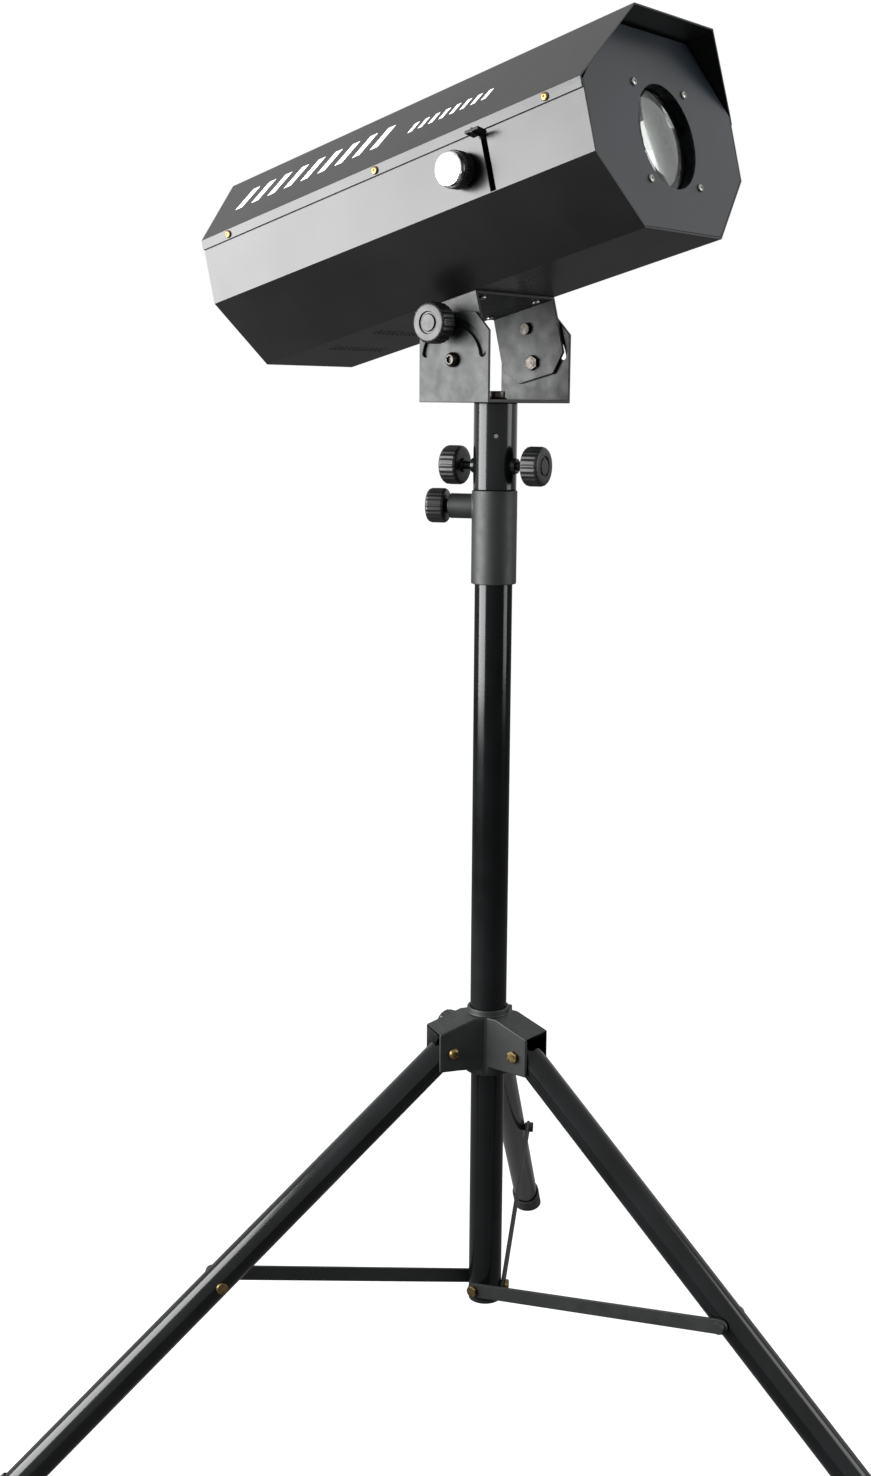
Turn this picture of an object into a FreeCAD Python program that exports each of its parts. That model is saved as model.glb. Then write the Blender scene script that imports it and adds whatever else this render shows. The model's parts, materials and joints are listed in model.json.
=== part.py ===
# Stage follow spot on a folding tripod stand, in millimetres.
# The origin is on the stand's axis at the floor, +Z is up and the beam points towards -Y.
import FreeCAD, Part
import os
import Sketcher

doc = FreeCAD.newDocument("follow_spot")
dim = doc.addObject("Spreadsheet::Sheet", "dim")

# Driving dimensions: name and value. Lengths are millimetres, angles are degrees.
SIZES = [
    # clearances
    ("running_gap", 0.3),
    ("sliding_gap", 0.1),
    ("pin_gap", 0.05),
    # stand tubes
    ("main_tube_od", 35), ("tube_wall", 1.2), ("mast_od", 28.6), ("mast_wall", 1.5),
    ("leg_od", 28.6), ("leg_wall", 1.5), ("leg_length", 597), ("leg_spread", 49.2),
    ("leg_top_reach", 10), ("foot_rise", 9), ("foot_wall", 2.2), ("foot_length", 38), ("foot_sole", 7),
    ("foot_toe", 14), ("plug_rim", 3), ("plug_reach", 19), ("bush_length", 40),
    # leg hub
    ("hub_pivot_radius", 43.2), ("hub_arm_reach", 57.5), ("hub_sleeve_radius", 22),
    ("hub_cheek", 3.4), ("hub_arm_above", 20), ("hub_arm_below", 18), ("hub_shoulder_above", 32),
    ("hub_ring_above", 38), ("hub_ring_radius", 20.5), ("hub_sleeve_below", 27), ("hub_seat_above", 12),
    ("hub_knob_azimuth", 90), ("hub_knob_above", 6), ("hub_boss_reach", 33), ("hub_boss_radius", 10),
    ("hub_slot_inset", 4.5), ("hub_slot_above", 18.5),
    ("leg_pin_diameter", 6), ("bolt_head", 11), ("bolt_head_height", 4),
    # braces
    ("brace_on_leg", 305), ("brace_post_drop", 253), ("brace_width", 14), ("brace_thickness", 3),
    ("brace_bolt", 6), ("post_foot", 11), ("lower_tube_length", 610),
    # collar, mast and socket
    ("collar_above_hub", 447), ("collar_length", 86), ("collar_od", 42), ("collar_tube_depth", 60),
    ("collar_knob_azimuth", 110), ("collar_knob_drop", 15), ("collar_boss_reach", 42.5),
    ("collar_boss_radius", 11.5),
    ("mast_length", 660), ("mast_plug_length", 30),
    ("socket_od", 40), ("socket_length", 78.7), ("socket_knob_above", 22), ("socket_cap", 14),
    ("socket_knob_left", 99), ("socket_knob_right", 279), ("socket_screw_above", 49),
    ("socket_screw_azimuth", 218), ("socket_boss_radius", 7), ("socket_boss_reach", 3), ("socket_stand_off", 13),
    # clamp knobs
    ("knob_diameter", 36), ("small_knob_diameter", 32), ("knob_length", 18), ("knob_recess", 9.5),
    ("knob_screw", 8), ("knob_flutes", 24), ("flute_radius", 1.4), ("knob_stand_off", 9),
    ("recess_depth", 1.5), ("recess_width", 2), ("neck_radius", 6.5), ("neck_length", 2),
    # yoke
    ("yoke_width", 128), ("yoke_depth", 77), ("yoke_sheet", 3), ("pivot_above_yoke_base", 37),
    ("yoke_top_above_pivot", 41), ("yoke_chamfer", 16), ("arc_radius", 32), ("arc_half_angle", 80),
    ("lock_bolt", 6), ("pivot_bolt", 8), ("yoke_bolt", 10), ("yoke_bolt_head", 17), ("yoke_head_height", 6),
    ("washer", 1.6), ("pivot_nut", 13), ("pivot_nut_height", 6), ("lock_washer", 16), ("tilt_neck", 22),
    # head bracket
    ("bracket_depth", 70), ("bracket_below_pivot", 15), ("bracket_chamfer", 16), ("bracket_sheet", 3),
    ("bracket_screw_x", 41), ("bracket_screw_y", 26.6), ("bracket_screw_reach", 6),
    # head casing
    ("tilt_at_rest", 14), ("head_width", 240), ("head_height", 174), ("head_corner", 57),
    ("head_length", 432), ("pivot_behind_front", 212), ("head_above_pivot", 51), ("visor", 27),
    ("shell_sheet", 1.5), ("cover_gap", 0.2), ("seam_above_centre", 21), ("plate_sheet", 2),
    ("seam_lap", 7), ("cover_screw_inset", 35), ("cover_screw_above_seam", 4.5), ("cover_screw_reach", 6),
    ("vent_front_row", 312), ("vent_rear_row", 368), ("vent_row_width", 72), ("vent_slots", 12),
    ("vent_slot", 3), ("vent_length", 12),
    ("rear_recess", 3), ("grille_slots", 9), ("grille_pitch", 10), ("grille_slot", 6),
    ("grille_height", 60),
    # optics
    ("axis_drop", 4), ("aperture", 88), ("lens_diameter", 96), ("lens_edge", 6), ("lens_curve", 130),
    ("lens_screw_pitch", 79.6), ("lens_mount_width", 130), ("lens_mount_rise", 6), ("lens_inset", 0.6),
    ("keeper_wall", 8), ("lens_screw_reach", 8), ("bulkhead_sheet", 2), ("bulkhead_foot", 14),
    ("bulkhead_rise", 50), ("iris_behind_front", 101), ("iris_radius", 66), ("iris_bore", 50),
    ("iris_sweep", 20), ("iris_depth", 8), ("iris_groove", 3.5), ("iris_neck_wall", 8),
    ("iris_ring", 2.4), ("lever_width", 2), ("lever_height", 4), ("lever_tab", 14), ("lever_reach", 16),
    ("lever_slot", 6), ("condenser_behind_front", 150), ("condenser_diameter", 60),
    ("cell_wall", 4), ("cell_depth", 14), ("lens_lip", 3),
    ("led_behind_front", 190), ("led_board", 60), ("led_sheet", 2), ("led_emitter", 24),
    # cooling and supply
    ("sink_width", 120), ("sink_height", 110), ("sink_depth", 70), ("sink_base", 8), ("sink_fins", 15),
    ("fin_thickness", 2.5), ("fan_size", 92), ("fan_depth", 25), ("fan_blades", 7),
    ("fan_wall", 3), ("fan_hub_radius", 16), ("fan_hub_depth", 4), ("fan_pin_radius", 2), ("fan_spoke", 3),
    ("rotor_radius", 17), ("rotor_depth", 14), ("rotor_inset", 5), ("blade_tip_gap", 2),
    ("blade_chord", 12), ("blade_sheet", 3), ("blade_twist", 35),
    ("supply_width", 96), ("supply_depth", 70), ("supply_height", 46), ("supply_from_rear", 30),
    ("inlet_across", 25), ("inlet_above_floor", 24), ("inlet_width", 26), ("inlet_height", 19),
    ("inlet_depth", 20), ("inlet_rim", 2), ("inlet_wall", 2), ("switch_width", 12), ("switch_height", 18),
    ("switch_depth", 16), ("switch_wall", 1), ("rocker_radius", 9), ("rocker_tilt", 8),
    # controls
    ("dimmer_behind_front", 127), ("dimmer_diameter", 31), ("dimmer_length", 17),
    ("dimmer_body_radius", 12), ("dimmer_body_depth", 10), ("dimmer_spindle_radius", 3),
    ("dimmer_bushing", 4),
    # small screws
    ("screw_head", 7), ("screw_head_height", 2), ("screw_shank", 4),
]
for row, (alias, value) in enumerate(SIZES, start=1):
    dim.set(f"A{row}", alias)
    dim.set(f"B{row}", str(value))
    dim.setAlias(f"B{row}", alias)
doc.recompute()


def read(expression):
    """Number that an expression over the sheet has now."""
    return float(dim.evalExpression(expression.replace("dim.", "")))


# Heights and places that follow from the driving dimensions, as expressions.
HUB = "(dim.leg_length * cos(dim.leg_spread) + dim.foot_rise)"
COLLAR = f"({HUB} + dim.collar_above_hub)"
SOCKET = f"({COLLAR} + dim.collar_length + dim.running_gap)"
YOKE = f"({SOCKET} + dim.socket_length)"
PIVOT = f"({YOKE} + dim.pivot_above_yoke_base)"
POST_PIN = f"({HUB} - dim.brace_post_drop)"
LOWER_OD = "(dim.main_tube_od - 2 * dim.tube_wall - 2 * dim.sliding_gap)"
LOWER_ID = f"({LOWER_OD} - 2 * dim.tube_wall)"
THREAD = "(dim.knob_screw / 2 + dim.pin_gap)"
CASE_FLOOR = "(dim.head_above_pivot + dim.shell_sheet + dim.cover_gap)"
FRONT = "(0 - dim.pivot_behind_front)"
REAR = "(dim.head_length - dim.pivot_behind_front)"
MIDDLE = "(dim.head_above_pivot + dim.head_height / 2)"
OPTIC = f"({MIDDLE} - dim.axis_drop)"
LEG_AZIMUTHS = {"left": 150, "front": 270, "rear": 30}

nodes = []


def bind(obj, sizes):
    for name, expression in sizes.items():
        obj.setExpression(name, str(expression))
    return obj


def at(obj, x="0", y="0", z="0", axis=(0, 0, 1), angle=None):
    """Place an object: a turn about its own origin, then a shift."""
    start = 0.0 if angle is None else read(str(angle))
    turn = FreeCAD.Rotation(FreeCAD.Vector(*axis), start)
    obj.Placement = FreeCAD.Placement(FreeCAD.Vector(), turn)
    if angle is not None and abs(start) > 1e-9:
        obj.setExpression("Placement.Rotation.Angle", str(angle))
    return bind(obj, {"Placement.Base.x": x, "Placement.Base.y": y, "Placement.Base.z": z})


def box(x_size, y_size, z_size, x="0", y="0", z="0"):
    """Box centred on x and y, standing on z."""
    obj = doc.addObject("Part::Box", "block")
    bind(obj, {"Length": x_size, "Width": y_size, "Height": z_size})
    return at(obj, f"{x} - ({x_size}) / 2", f"{y} - ({y_size}) / 2", z)


AXES = {"z": ((0, 0, 1), None), "x": ((0, 1, 0), 90), "y": ((1, 0, 0), -90)}


def rod(radius, length, x="0", y="0", z="0", along="z"):
    """Cylinder from its point along +x, +y or +z."""
    obj = doc.addObject("Part::Cylinder", "rod")
    bind(obj, {"Radius": radius, "Height": length})
    axis, angle = AXES[along]
    return at(obj, x, y, z, axis, angle)


def cut(base, *tools):
    obj = doc.addObject("Part::Cut", "cut")
    obj.Base = base
    obj.Tool = tools[0] if len(tools) == 1 else fuse(*tools)
    return obj


def fuse(*shapes):
    obj = doc.addObject("Part::MultiFuse", "fuse")
    obj.Shapes = list(shapes)
    return obj


def common(first, second):
    obj = doc.addObject("Part::Common", "common")
    obj.Base = first
    obj.Tool = second
    return obj


def group(*objects):
    obj = doc.addObject("Part::Compound", "group")
    obj.Links = list(objects)
    return obj


def tube(outer, inner, length, x="0", y="0", z="0", along="z"):
    return cut(rod(outer, length, x, y, z, along), rod(inner, length, x, y, z, along))


def body_sketch(body, plane, loops, circles=()):
    """Closed outlines on one of the body's own planes, each point bound to the sheet."""
    sketch = body.newObject("Sketcher::SketchObject", "outline")
    for item in body.Origin.OriginFeatures:
        if item.Role == plane:
            sketch.AttachmentSupport = [(item, "")]
    sketch.MapMode = "FlatFace"
    for points in loops:
        values = [(read(across), read(up)) for across, up in points]
        first = sketch.GeometryCount
        count = len(points)
        for index, value in enumerate(values):
            following = values[(index + 1) % count]
            start = FreeCAD.Vector(value[0], value[1], 0)
            end = FreeCAD.Vector(following[0], following[1], 0)
            sketch.addGeometry(Part.LineSegment(start, end), False)
        for index, (across, up) in enumerate(points):
            line = first + index
            joined = first + (index + 1) % count
            sketch.addConstraint(Sketcher.Constraint("Coincident", line, 2, joined, 1))
            pin(sketch, "DistanceX", line, 1, across)
            pin(sketch, "DistanceY", line, 1, up)
    for across, up, radius in circles:
        centre = FreeCAD.Vector(read(across), read(up), 0)
        ring = sketch.addGeometry(Part.Circle(centre, FreeCAD.Vector(0, 0, 1), read(radius)), False)
        pin(sketch, "DistanceX", ring, 3, across)
        pin(sketch, "DistanceY", ring, 3, up)
        key = sketch.addConstraint(Sketcher.Constraint("Radius", ring, read(radius)))
        sketch.setExpression(f"Constraints[{key}]", radius)
    return sketch


def pin(sketch, kind, geometry, point, expression):
    key = sketch.addConstraint(Sketcher.Constraint(kind, -1, 1, geometry, point, read(expression)))
    sketch.setExpression(f"Constraints[{key}]", expression)


def pad(body, sketch, length, midplane=False):
    feature = body.newObject("PartDesign::Pad", "pad")
    feature.Profile = sketch
    feature.Midplane = midplane
    feature.setExpression("Length", length)
    body.Tip = feature
    return feature


def pocket(body, sketch, length, midplane=True):
    """Pocket that must take something away from the body."""
    doc.recompute()
    before = body.Shape.Volume
    feature = body.newObject("PartDesign::Pocket", "pocket")
    feature.Profile = sketch
    feature.Midplane = midplane
    feature.setExpression("Length", length)
    body.Tip = feature
    doc.recompute()
    if body.Shape.Volume >= before:
        raise RuntimeError(f"{body.Label}: a pocket cuts nothing")
    return feature


def new_body(name):
    return doc.addObject("PartDesign::Body", name)


def keep(label, obj):
    """Name a finished sub-part."""
    obj.Label = label
    nodes.append(obj)
    return obj


def on_head(label, *objects):
    """Sub-part drawn in the head's level frame, with its origin at the tilt pivot."""
    return keep(label, at(group(*objects), z=PIVOT, axis=(1, 0, 0), angle="0 - dim.tilt_at_rest"))


def turned(label, azimuth, *objects, z="0"):
    """Sub-part drawn along +x and turned to an azimuth about the stand's axis."""
    return keep(label, at(group(*objects), z=z, angle=azimuth))


def octagon(inset, top=True):
    """Casing outline across x and z, moved in by an inset on every flat."""
    half = f"(dim.head_width / 2 - ({inset}))"
    corner = f"(dim.head_corner - ({inset}) * (2 - sqrt(2)))"
    low = f"(dim.head_above_pivot + ({inset}))"
    high = f"(dim.head_above_pivot + dim.head_height - ({inset}))"
    lower = [(f"0 - {half}", f"{low} + {corner}"), (f"0 - {half} + {corner}", low),
             (f"{half} - {corner}", low), (half, f"{low} + {corner}")]
    upper = [(half, f"{high} - {corner}"), (f"{half} - {corner}", high),
             (f"0 - {half} + {corner}", high), (f"0 - {half}", f"{high} - {corner}")]
    return (lower, upper) if not top else lower + upper


def clamp_knob(diameter, start, length="dim.knob_length"):
    """Fluted round knob whose back face is at start along x."""
    body = new_body("knob")
    disc = body_sketch(body, "YZ_Plane", [], [("0", "0", f"{diameter} / 2")])
    pad(body, disc, length)
    flute = body_sketch(body, "YZ_Plane", [], [(f"{diameter} / 2", "0", "dim.flute_radius")])
    groove = pocket(body, flute, f"{length} * 3")
    pattern = body.newObject("PartDesign::PolarPattern", "flutes")
    pattern.Originals = [groove]
    pattern.Axis = (axis_of(body, "X_Axis"), [""])
    pattern.Angle = 360
    pattern.setExpression("Occurrences", "dim.knob_flutes")
    body.Tip = pattern
    return at(body, start)


def axis_of(body, role):
    for item in body.Origin.OriginFeatures:
        if item.Role == role:
            return item
    raise RuntimeError(f"no {role}")


def knob_with_screw(diameter, start, tip, length="dim.knob_length"):
    """Knob from start outwards and the screw that reaches in to tip, with a recess in the face."""
    neck = rod("dim.neck_radius", "dim.neck_length", f"{start} - dim.neck_length", along="x")
    screw = rod("dim.knob_screw / 2", f"{start} + dim.neck_length - ({tip})", tip, along="x")
    disc = clamp_knob(diameter, start, length=length)
    return cut(fuse(disc, neck, screw), face_recess(f"{start} + {length}"))


def face_recess(face):
    """Ring sunk in the face of a knob, whose face is at this place along x."""
    return tube("dim.knob_recess", "dim.knob_recess - dim.recess_width", "2 * dim.recess_depth",
                f"{face} - dim.recess_depth", along="x")


# Tripod stand

def build_main_tube():
    length = "dim.collar_above_hub + dim.collar_tube_depth - dim.hub_seat_above"
    foot = f"{HUB} + dim.hub_seat_above"
    bore = "dim.main_tube_od / 2 - dim.tube_wall"
    keep("main_tube", tube("dim.main_tube_od / 2", bore, length, z=foot))


def hub_arm(azimuth):
    """Forked arm of the hub, with the slot for its leg open below and outwards."""
    width = "dim.leg_od + 2 * dim.running_gap + 2 * dim.hub_cheek"
    root = "(dim.hub_sleeve_radius / 2)"
    arm = new_body("arm")
    outline = [(root, "0 - dim.hub_arm_below"), ("dim.hub_arm_reach", "0 - dim.hub_arm_below"),
               ("dim.hub_arm_reach", "dim.hub_arm_above"),
               ("dim.hub_sleeve_radius", "dim.hub_shoulder_above"), (root, "dim.hub_shoulder_above")]
    pad(arm, body_sketch(arm, "XZ_Plane", [outline]), width, midplane=True)
    inner = "dim.hub_pivot_radius - dim.leg_od / 2 - dim.hub_slot_inset"
    slot = box("dim.hub_arm_reach", "dim.leg_od + 2 * dim.running_gap",
               "dim.hub_arm_below + dim.hub_slot_above + dim.leg_od", x=f"{inner} + dim.hub_arm_reach / 2",
               z="0 - dim.hub_arm_below - dim.leg_od")
    hole = rod("dim.leg_pin_diameter / 2", f"2 * ({width})", x="dim.hub_pivot_radius", y=f"0 - ({width})",
               along="y")
    return at(cut(arm, slot, hole), z=HUB, angle=azimuth)


def build_leg_hub():
    hub = rod("dim.hub_sleeve_radius", "dim.hub_sleeve_below + dim.hub_shoulder_above",
              z=f"{HUB} - dim.hub_sleeve_below")
    for azimuth in LEG_AZIMUTHS.values():
        hub = fuse(hub, hub_arm(azimuth))
    ring = rod("dim.hub_ring_radius", "dim.hub_ring_above", z=HUB)
    boss = rod("dim.hub_boss_radius", "dim.hub_boss_reach - dim.hub_sleeve_radius / 2",
               x="dim.hub_sleeve_radius / 2", along="x")
    boss_at = at(group(boss), z=f"{HUB} + dim.hub_knob_above", angle="dim.hub_knob_azimuth")
    thread = rod(THREAD, "2 * dim.hub_boss_reach", along="x")
    thread_at = at(group(thread), z=f"{HUB} + dim.hub_knob_above", angle="dim.hub_knob_azimuth")
    wide = rod("dim.main_tube_od / 2", "dim.hub_ring_above", z=f"{HUB} + dim.hub_seat_above")
    narrow = rod(f"{LOWER_OD} / 2 + dim.sliding_gap", "2 * (dim.hub_sleeve_below + dim.hub_seat_above)",
                 z=f"{HUB} - 2 * dim.hub_sleeve_below")
    keep("leg_hub", cut(fuse(hub, ring, boss_at), wide, narrow, thread_at))


def build_leg(name, azimuth):
    reach = "dim.leg_length - dim.foot_sole + dim.leg_top_reach"
    pipe = tube("dim.leg_od / 2", "dim.leg_od / 2 - dim.leg_wall", reach, x="0 - dim.leg_top_reach",
                along="x")
    pin_hole = rod("dim.leg_pin_diameter / 2 + dim.pin_gap", "dim.leg_od + 2",
                   y="0 - dim.leg_od / 2 - 1", along="y")
    brace_hole = rod("dim.brace_bolt / 2", "dim.leg_od + 2", x="dim.brace_on_leg",
                     y="0 - dim.leg_od / 2 - 1", along="y")
    leg = at(cut(pipe, pin_hole, brace_hole), x="dim.hub_pivot_radius", z=HUB, axis=(0, 1, 0),
             angle="90 - dim.leg_spread")
    turned(f"leg_{name}", azimuth, leg)
    outer = rod("dim.leg_od / 2 + dim.foot_wall", "dim.foot_length + dim.foot_toe",
                x="dim.leg_length - dim.foot_length", along="x")
    inner = rod("dim.leg_od / 2", "dim.foot_length - dim.foot_sole", x="dim.leg_length - dim.foot_length",
                along="x")
    cap = at(cut(outer, inner), x="dim.hub_pivot_radius", z=HUB, axis=(0, 1, 0),
             angle="90 - dim.leg_spread")
    toe = "dim.hub_pivot_radius + dim.leg_length * sin(dim.leg_spread)"
    block = "(2 * dim.foot_length)"
    floor = box(f"2 * {block}", block, block, x=toe, z=f"0 - {block}")
    wall = box(block, block, block, x=f"{toe} + dim.foot_toe + {block} / 2", z="0 - dim.foot_wall")
    turned(f"foot_{name}", azimuth, cut(cap, floor, wall))
    near = f"(0 - {LOWER_OD} / 2)"
    spacer = rod("dim.bolt_head / 2", f"0 - dim.leg_od / 2 - {near}", x="dim.brace_on_leg", y=near,
                 along="y")
    shank = rod("dim.brace_bolt / 2", f"dim.leg_od / 2 + dim.bolt_head_height - {near}",
                x="dim.brace_on_leg", y=near, along="y")
    nut = rod("dim.bolt_head / 2", "dim.bolt_head_height", x="dim.brace_on_leg", y="dim.leg_od / 2",
              along="y")
    bolt = at(fuse(spacer, shank, nut), x="dim.hub_pivot_radius", z=HUB, axis=(0, 1, 0),
              angle="90 - dim.leg_spread")
    turned(f"brace_bolt_{name}", azimuth, bolt)


def build_brace(name, azimuth):
    across = "(dim.hub_pivot_radius + dim.brace_on_leg * sin(dim.leg_spread))"
    rise = "(dim.brace_post_drop - dim.brace_on_leg * cos(dim.leg_spread))"
    length = f"sqrt({across} * {across} + {rise} * {rise})"
    outside = f"({LOWER_OD} / 2 + dim.running_gap + dim.brace_thickness)"
    bar = box(length, "dim.brace_thickness", "dim.brace_width", x=f"{length} / 2",
              y=f"0 - {outside} + dim.brace_thickness / 2", z="0 - dim.brace_width / 2")
    ends = [rod("dim.brace_width / 2", "dim.brace_thickness", x=spot, y=f"0 - {outside}", along="y")
            for spot in ("0", length)]
    rivet = rod("dim.bolt_head / 2", "dim.bolt_head_height", x=length,
                y=f"0 - {outside} - dim.bolt_head_height", along="y")
    hole = rod("dim.brace_bolt / 2 + dim.pin_gap", "dim.brace_thickness + 2", y=f"0 - {outside} - 1",
               along="y")
    flat = at(cut(fuse(bar, rivet, *ends), hole), z=POST_PIN, axis=(0, 1, 0),
              angle=f"-1 * atan({rise} / {across})")
    turned(f"brace_{name}", azimuth, flat)


def build_lower_column():
    foot = f"{POST_PIN} - dim.post_foot"
    pipe = tube(f"{LOWER_OD} / 2", f"{LOWER_ID} / 2", "dim.lower_tube_length", z=foot)
    holes = []
    bolts = []
    for azimuth in LEG_AZIMUTHS.values():
        side = azimuth - 90
        hole = rod("dim.brace_bolt / 2", f"{LOWER_OD} / 2", x=f"{LOWER_OD} / 4", along="x")
        holes.append(at(group(hole), z=POST_PIN, angle=side))
        head_at = f"{LOWER_OD} / 2 + 2 * dim.running_gap + dim.brace_thickness"
        shank = rod("dim.brace_bolt / 2", f"{head_at} - {LOWER_ID} / 2 + dim.bolt_head_height",
                    x=f"{LOWER_ID} / 2 - dim.bolt_head_height", along="x")
        head = rod("dim.bolt_head / 2", "dim.bolt_head_height", x=head_at, along="x")
        bolts.append(at(fuse(shank, head), z=POST_PIN, angle=side))
    keep("lower_tube", cut(pipe, *holes))
    keep("post_bolts", group(*bolts))
    plug = fuse(rod(f"{LOWER_ID} / 2", "dim.plug_reach", z=foot),
                rod(f"{LOWER_OD} / 2", "dim.plug_rim", z=f"{foot} - dim.plug_rim"))
    depth = "dim.bolt_head_height + dim.running_gap"
    sockets = [at(group(rod("dim.brace_bolt / 2", depth, x=f"{LOWER_ID} / 2 - ({depth})", along="x")),
                  z=POST_PIN, angle=azimuth - 90) for azimuth in LEG_AZIMUTHS.values()]
    keep("lower_tube_plug", cut(plug, *sockets))


def build_leg_pins():
    pins = []
    half = "(dim.leg_od / 2 + dim.running_gap + dim.hub_cheek)"
    for azimuth in LEG_AZIMUTHS.values():
        shank = rod("dim.leg_pin_diameter / 2", f"2 * {half}", x="dim.hub_pivot_radius",
                    y=f"0 - {half}", along="y")
        head = rod("dim.bolt_head / 2", "dim.bolt_head_height", x="dim.hub_pivot_radius",
                   y=f"0 - {half} - dim.bolt_head_height", along="y")
        nut = rod("dim.bolt_head / 2", "dim.bolt_head_height", x="dim.hub_pivot_radius", y=half, along="y")
        pins.append(at(fuse(shank, head, nut), z=HUB, angle=azimuth))
    keep("leg_pins", group(*pins))


def build_collar():
    outer = rod("dim.collar_od / 2", "dim.collar_length", z=COLLAR)
    boss = rod("dim.collar_boss_radius", "dim.collar_boss_reach - dim.collar_od / 3", x="dim.collar_od / 3",
               along="x")
    height = f"{COLLAR} + dim.collar_length - dim.collar_knob_drop"
    boss_at = at(group(boss), z=height, angle="dim.collar_knob_azimuth")
    thread = rod(THREAD, "dim.collar_boss_reach + 2", along="x")
    thread_at = at(group(thread), z=height, angle="dim.collar_knob_azimuth")
    seat = rod("dim.main_tube_od / 2", "dim.collar_tube_depth", z=COLLAR)
    bore = rod("dim.mast_od / 2 + dim.sliding_gap", "dim.collar_length + 2", z=f"{COLLAR} - 1")
    keep("collar_clamp", cut(fuse(outer, boss_at), seat, bore, thread_at))
    bush_outer = "dim.main_tube_od / 2 - dim.tube_wall"
    keep("mast_bush", tube(bush_outer, "dim.mast_od / 2 + dim.sliding_gap", "dim.bush_length",
                           z=f"{COLLAR} + dim.collar_tube_depth - dim.bush_length"))


def build_mast():
    top = f"({SOCKET} + dim.socket_length - dim.socket_cap)"
    foot = f"({top} - dim.mast_length)"
    keep("mast_tube", tube("dim.mast_od / 2", "dim.mast_od / 2 - dim.mast_wall", "dim.mast_length", z=foot))
    tail = rod(f"{LOWER_ID} / 2 - dim.sliding_gap", "dim.plug_rim", z=f"{foot} - dim.plug_rim")
    stem = rod("dim.mast_od / 2 - dim.mast_wall", "dim.mast_plug_length", z=foot)
    keep("mast_plug", fuse(tail, stem))


def build_socket():
    bore = "dim.mast_od / 2 + dim.sliding_gap"
    body = cut(rod("dim.socket_od / 2", "dim.socket_length", z=SOCKET),
               rod(bore, "dim.socket_length - dim.socket_cap + dim.running_gap", z=SOCKET),
               rod("dim.yoke_bolt / 2", "dim.socket_cap", z=f"{YOKE} - dim.socket_cap"))
    threads = []
    bosses = []
    for side in ("dim.socket_knob_left", "dim.socket_knob_right"):
        boss = rod("dim.socket_boss_radius", "dim.socket_od / 4 + dim.socket_boss_reach",
                   x="dim.socket_od / 4", along="x")
        bosses.append(at(group(boss), z=f"{SOCKET} + dim.socket_knob_above", angle=side))
        thread = rod(THREAD, "dim.socket_od", along="x")
        threads.append(at(group(thread), z=f"{SOCKET} + dim.socket_knob_above", angle=side))
    height = f"{SOCKET} + dim.socket_screw_above"
    hole = at(group(rod("dim.screw_shank / 2", "dim.socket_od", along="x")), z=height,
              angle="dim.socket_screw_azimuth")
    inside = rod(bore, "dim.socket_length - 2 * dim.socket_cap", z=SOCKET)
    keep("socket_tube", cut(fuse(body, *bosses), *threads, hole, inside))
    screw = rod("dim.screw_shank / 2", "dim.socket_od / 2 - dim.mast_od / 2 - dim.running_gap",
                x="dim.mast_od / 2 + dim.running_gap", along="x")
    turned("socket_screw", "dim.socket_screw_azimuth", screw, z=height)


def build_stand_knobs():
    hub_tip = f"{LOWER_OD} / 2 + dim.running_gap"
    hub_start = "dim.hub_boss_reach + dim.knob_stand_off / 3"
    turned("hub_lock_knob", "dim.hub_knob_azimuth",
           knob_with_screw("dim.small_knob_diameter", hub_start, hub_tip), z=f"{HUB} + dim.hub_knob_above")
    mast_tip = "dim.mast_od / 2 + dim.running_gap"
    collar_start = "dim.collar_boss_reach + dim.knob_stand_off / 3"
    turned("collar_lock_knob", "dim.collar_knob_azimuth",
           knob_with_screw("dim.small_knob_diameter", collar_start, mast_tip),
           z=f"{COLLAR} + dim.collar_length - dim.collar_knob_drop")
    for side in ("left", "right"):
        start = "dim.socket_od / 2 + dim.socket_stand_off"
        turned(f"socket_knob_{side}", f"dim.socket_knob_{side}",
               knob_with_screw("dim.knob_diameter", start, mast_tip), z=f"{SOCKET} + dim.socket_knob_above")


for builder in (build_main_tube, build_leg_hub, build_leg_pins, build_lower_column, build_collar,
                build_mast, build_socket, build_stand_knobs):
    builder()
for leg_name, leg_azimuth in LEG_AZIMUTHS.items():
    build_leg(leg_name, leg_azimuth)
    build_brace(leg_name, leg_azimuth)


# Yoke

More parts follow.
